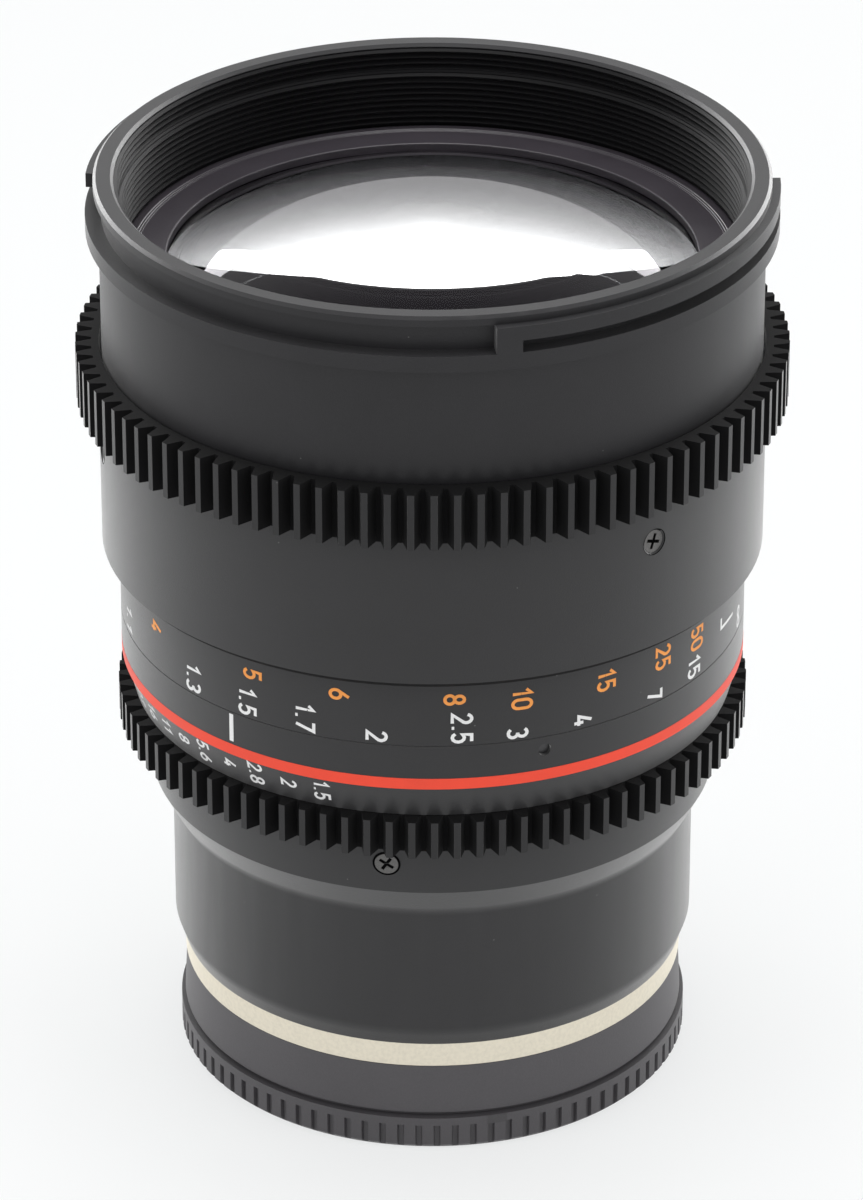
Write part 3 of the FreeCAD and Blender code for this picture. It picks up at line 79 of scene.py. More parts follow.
# Straight marks: phi, height of the upper end, and points as (down the wall, to the right)
INDEX_LINE = (-38.7, 57.2, ((0.0, 0.0), (1.2, 0.0), (2.4, 0.0), (3.5, 0.0)))
CORNER_MARK = (65.3, 62.3, ((0.0, 0.0), (0.65, 0.0), (1.3, 0.0), (1.3, 0.8), (1.3, 1.6), (1.3, 2.4),
                            (1.3, 3.2), (1.3, 4.0)))
CAP_PAD = (14.5, 4.12, ((0.0, 0.0), (0.35, 0.0), (0.7, 0.0), (1.05, 0.0)))
INDEX_WIDTH = 0.58
PAD_WIDTH = 2.3
PAD_RISE = 0.03

# The edges of the red line above the foot of the index ring
RED_LOW = 0.02
RED_HIGH = 1.38

# How far paint reaches into the wall under it
PAINT_ROOT = 0.05

# The front bore: radii of its two steps and the height between them
LOWER_BORE = 35.5
FILTER_BORE = 36.0
FILTER_FOOT = 107.6

# The grooved liner of the bore: how far it reaches into the wall, how far its grooves stand before the
# wall, and how far its top lies under the lip; how far its wide part begins below the step; and the
# shares of the pitch at which a groove's floor ends and the crest beside it starts and ends
WALL_BITE = 0.2
WALL_LIFT = 0.03
LIP_DROP = 0.42
STEP_LAP = 0.1
GROOVE_SHAPE = (0.18, 0.52, 0.68)

# The face of the retaining ring: how far it lies above the ring and inside the bore, its thickness at
# the rim, the radius at which its grooves begin, their number, the drop from one to the next, and the
# shares of the pitch at which a groove's floor starts and ends
FACE_RISE = 0.10
FACE_MARGIN = 0.4
FACE_RIM = 0.3
FLAT_EDGE = 34.3
FINE_GROOVES = 8
FINE_DROP = 0.035
FINE_SHAPE = (0.3, 0.7)

# Corners of the face's inner foot and of the bevel at the glass, which is dark with painted shade: inside
# the last groove, below the face
FACE_FOOT = ((0.12, 0.38), (0.12, 0.6))
GLASS_BEVEL = ((0.16, 0.34), (0.16, 0.2), (0.30, 0.16), (1.35, 0.95), (1.35, 1.1))

# Gap between pieces that would touch, and radius of the bore left in a piece solid to its middle
CLEAR = 0.02
CORE = 0.02

# Rings of three screws that show: piece, CAD node, body, azimuth of the first screw from X, its radius and
# height, turn of its cross, lean of the wall round it, and depths of its head and of the bed of its cross
ScrewRing = namedtuple("ScrewRing", "name node body azimuth radius level turn lean sink bed")
SCREWS = (ScrewRing("focus_screw", "focus_ring_screws", "focus_ring", azimuth=-49.9, radius=38.29,
                    level=79.6, turn=-19.0, lean=0.0, sink=0.25, bed=0.5),
          ScrewRing("rear_screw", "rear_barrel_screws", "root", azimuth=-99.0, radius=33.37,
                    level=40.3, turn=-33.0, lean=6.05, sink=0.0, bed=0.02))

# Their number, the angle from one to the next, and the turn of its cross against the one before
SCREW_COUNT = 3
SCREW_STEP = 120.0
CROSS_STEP = 47.0

# A head's rounded edge, depth of its cone, and radius and depth of its shank; the lip of its seat over
# the wall and the thickness of the seat; and radius and thickness of the bed under the cross; seat and
# bed are dark, as painted shade
HEAD_EDGE = 0.05
HEAD_FACETS = 40
CONE_FOOT = 1.2
SHANK = 0.75
SHANK_FOOT = 2.4
SEAT_LIP = 0.02
SEAT_WALL = 0.25
SEAT_FACETS = 48
BED_RADIUS = 1.1
BED_WALL = 0.3
BED_FACETS = 32

# Angles over which an edge is shown sharp and over which it is rounded, the distance at which corners
# are joined, and the nodes with rounded edges
SHARP_ANGLE = 30.0
ROUND_ANGLE = 38.0
WELD_REACH = 0.001
SOFTENED = ("front_barrel", "mount_tube", "bayonet_mount", "front_retaining_ring")

# Specks of dust: their spacing in metres, size as a share of it, and the share of places that hold one
DUST_GAP = 2.4 * MM
DUST_SIZE = 0.035
DUST_SHARE = 0.3

# Broad mottling against the grain, and how far the gloss goes up and down
MOTTLE = 60
GLOSS_SWING = 0.05

# Root radius, tip radius and top of the two gears, how far from the top a point still counts as on it,
# and the share of the painted shade between the teeth that their tips are spared
FOCUS_GEAR = (38.98, 40.77, 91.26)
APERTURE_GEAR = (34.98, 36.77, BAND_FOOT)
GEAR_MARGIN = 0.1
TIP_SHADE_SPARED = 0.75

# Painted shade between the teeth and under the rings: the black left there, and the roughness and shine
PAINTED_SHADE_TONE = 0.3
HOLLOW_ROUGH = 0.95
HOLLOW_SHINE = 0.22

# Upward part of a normal over which a face is an end of a gear, and under which it is a glass's edge
END_TILT = 0.5
GROUND_TILT = 0.2

# Scales of the lathe's rings and of the plating's specks
LATHE_RINGS = 2600.0
PLATE_SPECKS = 2400.0

# Tones against the barrel's black, and the pad's against the cap's plastic
INSIDE_TONE = 0.16
BORE_TONE = 0.55
FRONT_TONE = 1.35
PAD_TONE = 0.72

WHITE = (1.0, 1.0, 1.0)
BLACK = (0.0, 0.0, 0.0)
LACQUER = (0.0008, 0.0008, 0.0008)

# Glass: tints and refractive indices of the three elements of a group, and the glare of the outermost
# element and of the others
GLASS_TINTS = ((0.93, 0.96, 1.0), (1.0, 0.95, 0.86), (0.95, 1.0, 0.96))
GLASS_INDICES = (1.58, 1.66, 1.74)
FRONT_GLARE = (0.12, 0.09, 0.14)
INNER_GLARE = (0.03, 0.028, 0.025)
GLASSES = tuple(f"{group}_glass_{number}" for group in ("front", "focus", "rear") for number in (1, 2, 3))

# CAD nodes by finish
NODES = {
    "barrel": ("focus_scale_ring", "index_ring", "rear_barrel", "mount_tube"),
    "front": ("front_barrel",),
    "focus_gear": ("focus_ring",),
    "aperture_gear": ("aperture_ring",),
    "inside": ("front_cell", "focus_cell", "rear_cell", "front_spacer", "focus_front_ring",
               "focus_rear_ring", "rear_cell_ring", "iris_housing", "iris_keeper", "iris_cam_ring",
               "rear_baffle", "guide_tube", "focus_cam_ring"),
    "screw": ("focus_ring_screws", "rear_barrel_screws", "guide_tube_screws", "index_grub_screws",
              "mount_screws", "aperture_drive_pin", "cam_followers"),
    "blade": tuple(f"iris_blade_{number}" for number in range(1, 9)),
    "cap": ("rear_cap",),
    "ring": ("front_retaining_ring",),
    "bayonet": ("bayonet_mount",),
}

# The floor: half its side and its drop in metres, and the darker and lighter tone of its paper and their
# scale
FLOOR_REACH = 4.0
FLOOR_DROP = 0.00002
PAPER = ((0.93, 0.945, 0.95), (0.96, 0.965, 0.965))
PAPER_GRAIN = 3.0

# Lamps: name, place, point faced, width and height in metres, power in watts, and the only kind of ray
# that sees it, or none where all do
LAMPS = (("softbox", (0.0, 0.08, 0.85), (0.0, 0.0, 0.05), (0.34, 0.34), 3.4, None),
         ("left_panel", (-0.75, -0.33, 0.45), (0.0, 0.0, 0.06), (0.5, 0.5), 1.6, None),
         ("left_rim", (-0.62, 0.62, 0.30), (0.0, 0.0, 0.06), (0.7, 0.6), 13.0, "visible_glossy"),
         ("right_panel", (0.75, -0.33, 0.45), (0.0, 0.0, 0.06), (0.5, 0.5), 1.6, None),
         ("right_rim", (0.62, 0.62, 0.30), (0.0, 0.0, 0.06), (0.7, 0.6), 13.0, "visible_glossy"),
         ("backdrop", (0.0, 1.0, 0.50), (0.0, 0.0, 0.50), (2.0, 0.85), 21.0, "visible_transmission"))

# The backdrop's fade: the share of its height where it begins, and the share of light left at its end
FADE_FOOT = 0.15
FADE_LEFT = 0.12

# Camera: sensor width, sideways shift as a share of it, and nearest distance seen in metres
SENSOR = 36.0
FRAME_SHIFT = -0.00083
NEAREST = 0.01


class LensFinish(bpy.types.PropertyGroup):
    """Colours and grain of the finishes."""

    barrel: FloatVectorProperty(
        name="Barrel", description="Black of the barrel", subtype="COLOR",
        default=(0.0100, 0.0097, 0.0110), min=0.0, max=1.0)
    cap: FloatVectorProperty(
        name="Cap", description="Plastic of the rear cap", subtype="COLOR",
        default=(0.072, 0.068, 0.074), min=0.0, max=1.0)
    bayonet: FloatVectorProperty(
        name="Bayonet", description="Metal of the bayonet ring", subtype="COLOR",
        default=(0.77, 0.715, 0.595), min=0.0, max=1.0)
    white: FloatVectorProperty(
        name="White", description="White paint of the figures", subtype="COLOR",
        default=(0.84, 0.84, 0.84), min=0.0, max=1.0)
    orange: FloatVectorProperty(
        name="Orange", description="Orange paint of the feet figures", subtype="COLOR",
        default=(0.90, 0.33, 0.06), min=0.0, max=1.0)
    screw: FloatVectorProperty(
        name="Screw", description="Blackened steel of the screws that show", subtype="COLOR",
        default=(0.125, 0.122, 0.120), min=0.0, max=1.0)
    red: FloatVectorProperty(
        name="Red", description="Red line round the index ring", subtype="COLOR",
        default=(0.88, 0.055, 0.018), min=0.0, max=1.0)
    grain: FloatProperty(
        name="Grain", description="Size of the grain on the barrel", subtype="DISTANCE",
        unit="LENGTH", default=0.16 * MM, min=0.01 * MM)


class LensMarks(bpy.types.PropertyGroup):
    """Sizes of the painted figures and lines."""

    figure_height: FloatProperty(
        name="Figure height", description="Height of a distance figure, along the circumference",
        subtype="DISTANCE", unit="LENGTH", default=2.42 * MM)
    figure_width: FloatProperty(
        name="Figure width", description="Width of a distance figure, along the axis",
        subtype="DISTANCE", unit="LENGTH", default=1.31 * MM)
    stroke: FloatProperty(
        name="Stroke", description="Width of a figure's strokes", subtype="DISTANCE",
        unit="LENGTH", default=0.38 * MM)
    stop_scale: FloatProperty(
        name="Stop figures", description="Stop figures against distance figures", default=0.80)
    paint: FloatProperty(
        name="Paint", description="Thickness of the paint over the surface", subtype="DISTANCE",
        unit="LENGTH", default=0.02 * MM)


class LensGrooves(bpy.types.PropertyGroup):
    """Anti-glare grooves of the front bore and of the retaining ring, and soft edges."""

    pitch: FloatProperty(
        name="Pitch", description="From one groove of the bore to the next", subtype="DISTANCE",
        unit="LENGTH", default=0.73 * MM)
    depth: FloatProperty(
        name="Depth", description="Depth of a groove of the bore", subtype="DISTANCE", unit="LENGTH",
        default=0.36 * MM)
    fine_pitch: FloatProperty(
        name="Fine pitch", description="From one groove of the retaining ring to the next",
        subtype="DISTANCE", unit="LENGTH", default=0.30 * MM)
    fine_depth: FloatProperty(
        name="Fine depth", description="Depth of a groove of the retaining ring",
        subtype="DISTANCE", unit="LENGTH", default=0.07 * MM)
    edge: FloatProperty(
        name="Soft edge", description="Width of the softened edges", subtype="DISTANCE",
        unit="LENGTH", default=0.16 * MM)
    around: IntProperty(
        name="Facets", description="Facets of a round piece", default=256, min=32)


class LensScrews(bpy.types.PropertyGroup):
    """Countersunk cross-head screws."""

    head: FloatProperty(
        name="Head", description="Radius of the head", subtype="DISTANCE", unit="LENGTH",
        default=1.37 * MM)
    seat: FloatProperty(
        name="Seat", description="Outer radius of the countersunk seat", subtype="DISTANCE",
        unit="LENGTH", default=1.60 * MM)
    recess: FloatProperty(
        name="Recess", description="Depth of the cross", subtype="DISTANCE", unit="LENGTH",
        default=0.42 * MM)
    span: FloatProperty(
        name="Span", description="From end to end of the cross", subtype="DISTANCE",
        unit="LENGTH", default=1.95 * MM)
    arm: FloatProperty(
        name="Arm", description="Width of the cross's arms", subtype="DISTANCE", unit="LENGTH",
        default=0.46 * MM)


class LensStage(bpy.types.PropertyGroup):
    """Camera and light."""

    distance: FloatProperty(
        name="Camera distance", description="From the camera to the point it looks at",
        subtype="DISTANCE", unit="LENGTH", default=0.750)
    elevation: FloatProperty(
        name="Camera elevation", description="Above the horizon", subtype="ANGLE",
        default=math.radians(28.19))
    target: FloatProperty(
        name="Camera target", description="Height of the point it looks at",
        subtype="DISTANCE", unit="LENGTH", default=56.58 * MM)
    lens: FloatProperty(
        name="Focal length", description="Camera focal length in millimetres", default=192.63)
    sky: FloatProperty(
        name="Sky", description="Strength of the light from all round", default=0.55)
    whiteness: FloatProperty(
        name="Whiteness", description="Share of the floor that shows as plain white", default=0.74)


def settings():
    """What is set in the panel."""
    return bpy.context.scene.lens_looks


# Shader graphs

def node_maker(tree):
    """A function that adds a node to a tree, with its values and its wired inputs."""
    def node(kind, inputs=(), **values):
        one = tree.nodes.new(kind)
        for key, value in values.items():
            setattr(one, key, value)
        for socket, value in dict(inputs).items():
            if isinstance(value, bpy.types.NodeSocket):
                tree.links.new(value, one.inputs[socket])
            else:
                one.inputs[socket].default_value = value
        return one

    return node


def material(name):
    """A new node material with its principled shader, its node maker and its wiring."""
    made = bpy.data.materials.new(name)
    made.use_nodes = True
    shader = made.node_tree.nodes["Principled BSDF"]

    def wire(output, socket):
        made.node_tree.links.new(output, shader.inputs[socket])

    return made, shader, node_maker(made.node_tree), wire


def preset(shader, values):
    """Sets plain values on a shader's sockets."""
    for socket, value in values.items():
        shader.inputs[socket].default_value = value


def times(colour, factor):
    """A colour made darker or lighter."""
    return [channel * factor for channel in colour]


def shade(colour, factor=1.0):
    """A colour made darker or lighter, and opaque."""
    return times(colour, factor) + [1.0]


def maths(node, kind, first, second=None):
    """The result of a sum with one or two numbers."""
    inputs = {0: first} if second is None else {0: first, 1: second}
    return node("ShaderNodeMath", inputs, operation=kind).outputs["Value"]


def between(node, factor, first, second):
    """A number between two numbers."""
    mix = node("ShaderNodeMix", {"Factor": factor, "A": first, "B": second}, data_type="FLOAT")
    return mix.outputs["Result"]


def blended(node, factor, first, second):
    """A colour between two colours."""
    return node("ShaderNodeMix", {0: factor, 6: first, 7: second}, data_type="RGBA").outputs[2]


def toned(node, factor, low, high, start=0.0, end=1.0):
    """The colour that goes from low to high while a factor goes from start to end."""
    ramp = node("ShaderNodeValToRGB", {"Fac": factor})
    for number, position, colour in ((0, start, low), (1, end, high)):
        ramp.color_ramp.elements[number].position = position
        ramp.color_ramp.elements[number].color = colour
    return ramp.outputs["Color"]


def ranged(node, value, low, high):
    """A number from 0 to 1 spread from low to high."""
    return node("ShaderNodeMapRange", {"Value": value, "To Min": low, "To Max": high}).outputs["Result"]


def noise(node, place, scale, detail, rough=0.5):
    """Noise from 0 to 1."""
    return node("ShaderNodeTexNoise", {"Vector": place, "Scale": scale, "Detail": detail,
                                       "Roughness": rough}).outputs["Fac"]


def bumped(node, height, strength, distance):
    """The normal of a surface with relief."""
    return node("ShaderNodeBump", {"Height": height, "Strength": strength,
                                   "Distance": distance}).outputs["Normal"]


def facing_up(node):
    """How far a surface faces up: one on a level top, minus one on a level underside."""
    normal = node("ShaderNodeNewGeometry").outputs["Normal"]
    return node("ShaderNodeSeparateXYZ", {0: normal}).outputs["Z"]


def join_surfaces(made, node, factor, first, second):
    """Mixes two shaders into a material's surface."""
    mix = node("ShaderNodeMixShader", {0: factor, 1: first, 2: second})
    tree = made.node_tree
    tree.links.new(mix.outputs["Shader"], tree.nodes["Material Output"].inputs["Surface"])


def grained(name, colour, rough, grain, bump=0.12, spread=0.25, specular=0.5, metallic=0.0,
            sheen=0.0, veil=0.32, dust=0.0, gear=None):
    """A finely grained finish: mottled colour, uneven gloss, powdery relief and a few specks of dust.

    Between the teeth of a gear, given as root radius, tip radius and top, and on the faces that look down,
    it is left dull and dark with painted shade."""
    made, shader, node, wire = material(name)
    place = node("ShaderNodeTexCoord").outputs["Object"]
    fine = noise(node, place, 1.0 / grain, 3.0, 0.6)
    broad = noise(node, place, 1.0 / (grain * MOTTLE), 4.0, 0.55)
    tint = toned(node, between(node, 0.5, fine, broad), shade(colour, 1.0 - spread),
                 shade(colour, 1.0 + spread), 0.3, 0.7)
    gloss = ranged(node, broad, rough - GLOSS_SWING, rough + GLOSS_SWING)
    if dust:
        tint = blended(node, dust_specks(node, place), tint, (dust, dust, dust * 0.97, 1.0))
    if gear:
        # Painted shade between the teeth and under the ring: darker colour, no sheen, dull and less shiny
        painted_shade_mask = painted_shade_between_teeth(node, place, *gear)
        tint = blended(node, painted_shade_mask, tint, shade(colour, PAINTED_SHADE_TONE))
        gloss = between(node, painted_shade_mask, gloss, HOLLOW_ROUGH)
        wire(blended(node, painted_shade_mask, shade(WHITE), shade(BLACK)), "Sheen Tint")
        wire(between(node, painted_shade_mask, specular, HOLLOW_SHINE), "Specular IOR Level")
    wire(tint, "Base Color")
    wire(gloss, "Roughness")
    wire(bumped(node, fine, bump, grain * 0.5), "Normal")
    preset(shader, {"Metallic": metallic, "Specular IOR Level": specular, "Sheen Weight": sheen,
                    "Sheen Roughness": veil})
    return made


def dust_specks(node, place):
    """One on a few small specks, and zero elsewhere."""
    cells = node("ShaderNodeTexVoronoi", {"Vector": place, "Scale": 1.0 / DUST_GAP})
    near = maths(node, "LESS_THAN", cells.outputs["Distance"], DUST_SIZE)
    draw = node("ShaderNodeSeparateColor", {"Color": cells.outputs["Color"]})
    few = maths(node, "GREATER_THAN", draw.outputs["Red"], 1.0 - DUST_SHARE)
    return maths(node, "MULTIPLY", near, few)


def painted_shade_between_teeth(node, place, root, tip, top):
    """Mask of painted shade: one on the flanks, roots and ends of a gear's teeth and on the ring's foot
    and other faces that look down, less on the tips.

    Lengths are in millimetres."""
    spot = node("ShaderNodeSeparateXYZ", {0: place}).outputs
    across = node("ShaderNodeCombineXYZ", {"X": spot["X"], "Y": spot["Y"]}).outputs["Vector"]
    reach = node("ShaderNodeVectorMath", {0: across}, operation="LENGTH").outputs["Value"]
    up = facing_up(node)
    tips = maths(node, "MULTIPLY", maths(node, "GREATER_THAN", reach, tip * MM), TIP_SHADE_SPARED)
    flanks = maths(node, "SUBTRACT", maths(node, "GREATER_THAN", reach, root * MM), tips)
    flanks = maths(node, "MAXIMUM", flanks, 0.0)
    below = maths(node, "LESS_THAN", spot["Z"], (top + GEAR_MARGIN) * MM)
    ends = maths(node, "MULTIPLY", maths(node, "GREATER_THAN", up, END_TILT),
                 maths(node, "GREATER_THAN", spot["Z"], (top - GEAR_MARGIN) * MM))
    teeth = maths(node, "MAXIMUM", maths(node, "MULTIPLY", flanks, below),
                  maths(node, "MULTIPLY", ends, below))
    return maths(node, "MAXIMUM", teeth, maths(node, "LESS_THAN", up, -END_TILT))


def painted(name, colour):
    """Screen-printed paint: nearly even, slightly worn."""
    return grained(name, colour, 0.5, 0.08 * MM, bump=0.05, spread=0.06)


def nickel(name, colour):
    """Turned and plated metal, with fine rings from the lathe."""
    made, shader, node, wire = material(name)
    place = node("ShaderNodeTexCoord").outputs["Object"]
    rings = node("ShaderNodeTexWave", {"Vector": place, "Scale": LATHE_RINGS, "Distortion": 1.5,
                                       "Detail": 2.0}, wave_type="BANDS", bands_direction="Z")
    specks = noise(node, place, PLATE_SPECKS, 5.0)
    wire(toned(node, specks, shade(colour, 0.93), shade(colour, 1.02), 0.30, 0.62), "Base Color")
    wire(ranged(node, specks, 0.36, 0.46), "Roughness")
    wire(bumped(node, rings.outputs["Fac"], 0.05, 0.02 * MM), "Normal")
    preset(shader, {"Metallic": 1.0})
    return made


def coated(name, tint, ior, glare):
    """Coated optical glass: clear, with a tint that grows towards the edge, a coloured glare, and black
    lacquer on the ground edge of the element."""
    made, shader, node, wire = material(name)
    edge = node("ShaderNodeLayerWeight", {"Blend": 0.35}).outputs["Facing"]
    wire(toned(node, edge, shade(WHITE), shade(tint)), "Base Color")
    preset(shader, {"Roughness": 0.0, "Transmission Weight": 1.0, "IOR": ior,
                    "Specular Tint": shade(glare)})
    ground = maths(node, "LESS_THAN", maths(node, "ABSOLUTE", facing_up(node)), GROUND_TILT)
    lacquer = node("ShaderNodeBsdfDiffuse", {"Color": shade(LACQUER)})
    join_surfaces(made, node, ground, shader.outputs["BSDF"], lacquer.outputs["BSDF"])
    return made


# Meshes

def piece(mesh, body, look, smooth=SHARP_ANGLE):
    """Links a mesh, under its own name, as a piece that rides on a body."""
    made = bpy.data.objects.new(mesh.name, mesh)
    bpy.context.scene.collection.objects.link(made)
    mesh.materials.append(look)
    if smooth:
        mesh.polygons.foreach_set("use_smooth", [True] * len(mesh.polygons))
        mesh.set_sharp_from_angle(angle=math.radians(smooth))
    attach(made, body)
    return made


def closed_mesh(name, shape):
    """The mesh of a shape, with outward normals; the shape is freed."""
    bmesh.ops.recalc_face_normals(shape, faces=shape.faces)
    mesh = bpy.data.meshes.new(name)
    shape.to_mesh(mesh)
    shape.free()
    return mesh


def wrapped(name, fill, *values):
    """A mesh filled by a function."""
    shape = bmesh.new()
    fill(shape, *values)
    return closed_mesh(name, shape)


def lathe(name, profile, around):
    """A closed ring from a closed outline of (radius, height) corners, in millimetres."""
    shape = bmesh.new()
    rings = []
    for step in range(around):
        angle = math.tau * step / around
        rings.append([
            shape.verts.new((radius * MM * math.cos(angle), radius * MM * math.sin(angle), height * MM))
            for radius, height in profile])
    for step in range(around):
        here = rings[step]
        beyond = rings[(step + 1) % around]
        for corner in range(len(profile)):
            following = (corner + 1) % len(profile)
            shape.faces.new((here[corner], beyond[corner], beyond[following], here[following]))
    return closed_mesh(name, shape)


def take_in(shape, mesh):
    """Adds a mesh to a shape and removes it."""
    shape.from_mesh(mesh)
    bpy.data.meshes.remove(mesh)


def arc(centre, reach, start, end, steps=9):
    """Points along part of an ellipse."""
    turns = [math.radians(start + (end - start) * step / steps) for step in range(steps + 1)]
    return [(centre[0] + reach[0] * math.cos(turn), centre[1] + reach[1] * math.sin(turn))
            for turn in turns]


def infinity(steps=28):
    """Points round a lying eight in a cell one high."""
    middle = (0.62, 0.5)
    reach = 0.56
    stretch = 1.15
    points = []
    for step in range(steps + 1):
        turn = math.tau * step / steps
        under = 1.0 + math.sin(turn) ** 2
        points.append((middle[0] + reach * math.cos(turn) / under,
                       middle[1] + stretch * reach * math.sin(turn) * math.cos(turn) / under))
    return points


# Strokes of each figure in a cell one high, and its width; the width of a usual figure, and the gap
# between two
FIGURES = {
    "0": ([arc((0.3, 0.68), (0.25, 0.27), 0, 180) + arc((0.3, 0.32), (0.25, 0.27), 180, 360)
           + [(0.55, 0.68)]], 0.6),
    "1": ([[(0.10, 0.70), (0.34, 0.95), (0.34, 0.05)]], 0.5),
    "2": ([arc((0.3, 0.70), (0.24, 0.25), 165, -30) + [(0.06, 0.05), (0.56, 0.05)]], 0.6),
    "3": ([arc((0.28, 0.725), (0.23, 0.225), 150, -90) + arc((0.28, 0.275), (0.25, 0.225), 90, -150)],
          0.58),
    "4": ([[(0.36, 0.95), (0.05, 0.28), (0.58, 0.28)], [(0.42, 0.52), (0.42, 0.05)]], 0.62),
    "5": ([[(0.52, 0.95), (0.13, 0.95), (0.10, 0.52)] + arc((0.29, 0.33), (0.25, 0.28), 125, -150)],
          0.6),
    "6": ([[(0.42, 0.95), (0.08, 0.45)] + arc((0.30, 0.31), (0.25, 0.26), 160, 505, 18)], 0.6),
    "7": ([[(0.05, 0.95), (0.54, 0.95), (0.22, 0.05)]], 0.58),
    "8": ([arc((0.3, 0.725), (0.21, 0.225), -90, 270, 18),
           arc((0.3, 0.275), (0.25, 0.225), 90, 450, 18)], 0.6),
    ".": ([[(0.10, 0.02), (0.10, 0.14)]], 0.24),
    "inf": ([infinity()], 1.24),
}
CELL = 0.6
GAP = 0.14

# Distance under which two points are one, and the sharpest mitre of a stroke
TOUCHING = 1e-6
MITRE = 0.55

FigureSize = namedtuple("FigureSize", "height width stroke paint")


def figure_size(scale=1.0):
    """Sizes of the painted figures in millimetres."""
    marks = settings().marks
    return FigureSize(marks.figure_height * scale / MM, marks.figure_width * scale / MM,
                      marks.stroke * scale / MM, marks.paint / MM)


def ribbon(points, width):
    """The two edges of a stroke of this width along the points, with mitred corners."""
    closed = math.dist(points[0], points[-1]) < TOUCHING
    count = len(points)
    sides = []
    for number, point in enumerate(points):
        before = points[number - 1] if number else (points[-2] if closed else None)
        after = points[number + 1] if number + 1 < count else (points[1] if closed else None)
        ways = []
        for start, end in ((before, point), (point, after)):
            if start is not None and end is not None and math.dist(start, end) > TOUCHING:
                ways.append(Vector((end[0] - start[0], end[1] - start[1])).normalized())
        way = sum(ways, Vector((0.0, 0.0))).normalized()
        across = Vector((-way.y, way.x))
        flat = Vector((-ways[0].y, ways[0].x))
        reach = width / 2 / max(MITRE, across.dot(flat))
        spot = Vector(point)
        sides.append((spot + across * reach, spot - across * reach))
    return sides


def straight(radius):
    """A wall of one radius."""
    return lambda height: radius


def stop_band(height):
    """Radius of the cone that carries the stop figures."""
    return BAND_RADIUS + BAND_FLARE * (height - BAND_FOOT) / (BAND_TOP - BAND_FOOT)


def add_stroke(shape, sides, phi, top, centre, wall, paint):
    """Lays a ribbon on a wall as a thin closed solid.

    Its points are (down from top, to the right of phi less centre). Wall gives the radius at a height."""
    rows = []
    for pair in sides:
        row = []
        for point in pair:
            z = top - point.x
            radius = wall(z)
            angle = math.radians(phi + FRONT) + (point.y - centre) / radius
            for lift in (paint, -PAINT_ROOT):
                reach = (radius + lift) * MM
                row.append(shape.verts.new((reach * math.cos(angle), reach * math.sin(angle), z * MM)))
        rows.append(row)
    for here, beyond in zip(rows, rows[1:]):
        for first, second in ((0, 2), (2, 3), (3, 1), (1, 0)):
            shape.faces.new((here[first], here[second], beyond[second], beyond[first]))
    for row in (rows[0], rows[-1]):
        shape.faces.new((row[0], row[2], row[3], row[1]))


def add_mark(shape, mark, width, radius, paint):
    """Adds a straight mark to a wall of one radius."""
    phi, top, points = mark
    add_stroke(shape, ribbon(points, width), phi, top, 0.0, straight(radius), paint)


def add_figure(shape, text, phi, end, wall, size, middle=False):
    """Adds a figure that reads down the wall, its top to the right, its foot or its middle at a height."""
    characters = [text] if text in FIGURES else list(text)
    run = size.width / CELL
    total = sum(FIGURES[one][1] for one in characters) + GAP * (len(characters) - 1)
    cursor = end + total * run / (2 if middle else 1)
    for one in characters:
        strokes, wide = FIGURES[one]
        for line in strokes:
            scaled = [(along * run, up * size.height) for along, up in line]
            add_stroke(shape, ribbon(scaled, size.stroke), phi, cursor, size.height / 2, wall, size.paint)
        cursor -= (wide + GAP) * run


def top_of(node):
    """Height of a CAD node's top in millimetres."""
    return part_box(node)[1].z / MM


def foot_of(node):
    """Height of a CAD node's foot in millimetres."""
    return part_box(node)[0].z / MM


def radius_of(node):
    """Outer radius of a CAD node in millimetres."""
    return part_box(node)[1].x / MM


class LENS_OT_finishes(bpy.types.Operator):
    """Give every CAD piece its finish"""

    bl_idname = "lens.finishes"
    bl_label = "Finishes"

    def execute(self, context):
        look = settings().finish
        grain = look.grain
        black = look.barrel
        satin = {"rough": 0.48, "grain": grain, "bump": 0.22, "specular": 0.40, "sheen": 1.0,
                 "dust": 0.10, "veil": 0.40}
        looks = {
            "barrel": grained("barrel_black", black, **satin),
            "focus_gear": grained("focus_gear_black", black, gear=FOCUS_GEAR, **satin),
            "aperture_gear": grained("aperture_gear_black", black, gear=APERTURE_GEAR, **satin),
            "front": grained("front_black", times(black, FRONT_TONE), 0.46, grain, bump=0.2,
                             specular=0.36, sheen=0.35, veil=0.3, dust=0.08),
            # Matt black of the inner parts, also used as painted shade on the screw seats and the glass
            # bevel
            "inside": grained("inside_black", times(black, INSIDE_TONE), 0.92, grain, bump=0.04,
                              specular=0.05),
            "screw": grained("screw_black", (0.06, 0.06, 0.062), 0.36, grain * 0.5, metallic=0.7),
            "blade": grained("blade_black", (0.03, 0.03, 0.032), 0.42, grain * 2, metallic=0.5),
            "cap": grained("cap_plastic", look.cap, 0.5, grain * 1.4, bump=0.18, spread=0.12,
                           sheen=0.02),
            "ring": grained("retaining_ring_black", (0.036, 0.031, 0.038), 0.40, grain, bump=0.1),
            "bayonet": nickel("bayonet_nickel", look.bayonet),
        }
        for key, nodes in NODES.items():
            for node in nodes:
                finish(node, looks[key])
        for number, node in enumerate(GLASSES):
            glare = FRONT_GLARE if node == GLASSES[0] else INNER_GLARE
            glass = coated(f"coated_{node}", GLASS_TINTS[number % 3], GLASS_INDICES[number % 3], glare)
            finish(node, glass)
        grained("bore_black", times(black, BORE_TONE), 0.46, grain, bump=0.15, specular=0.08)
        grained("screw_steel", look.screw, 0.3, grain * 0.6, bump=0.6, spread=0.6, metallic=1.0)
        return {"FINISHED"}


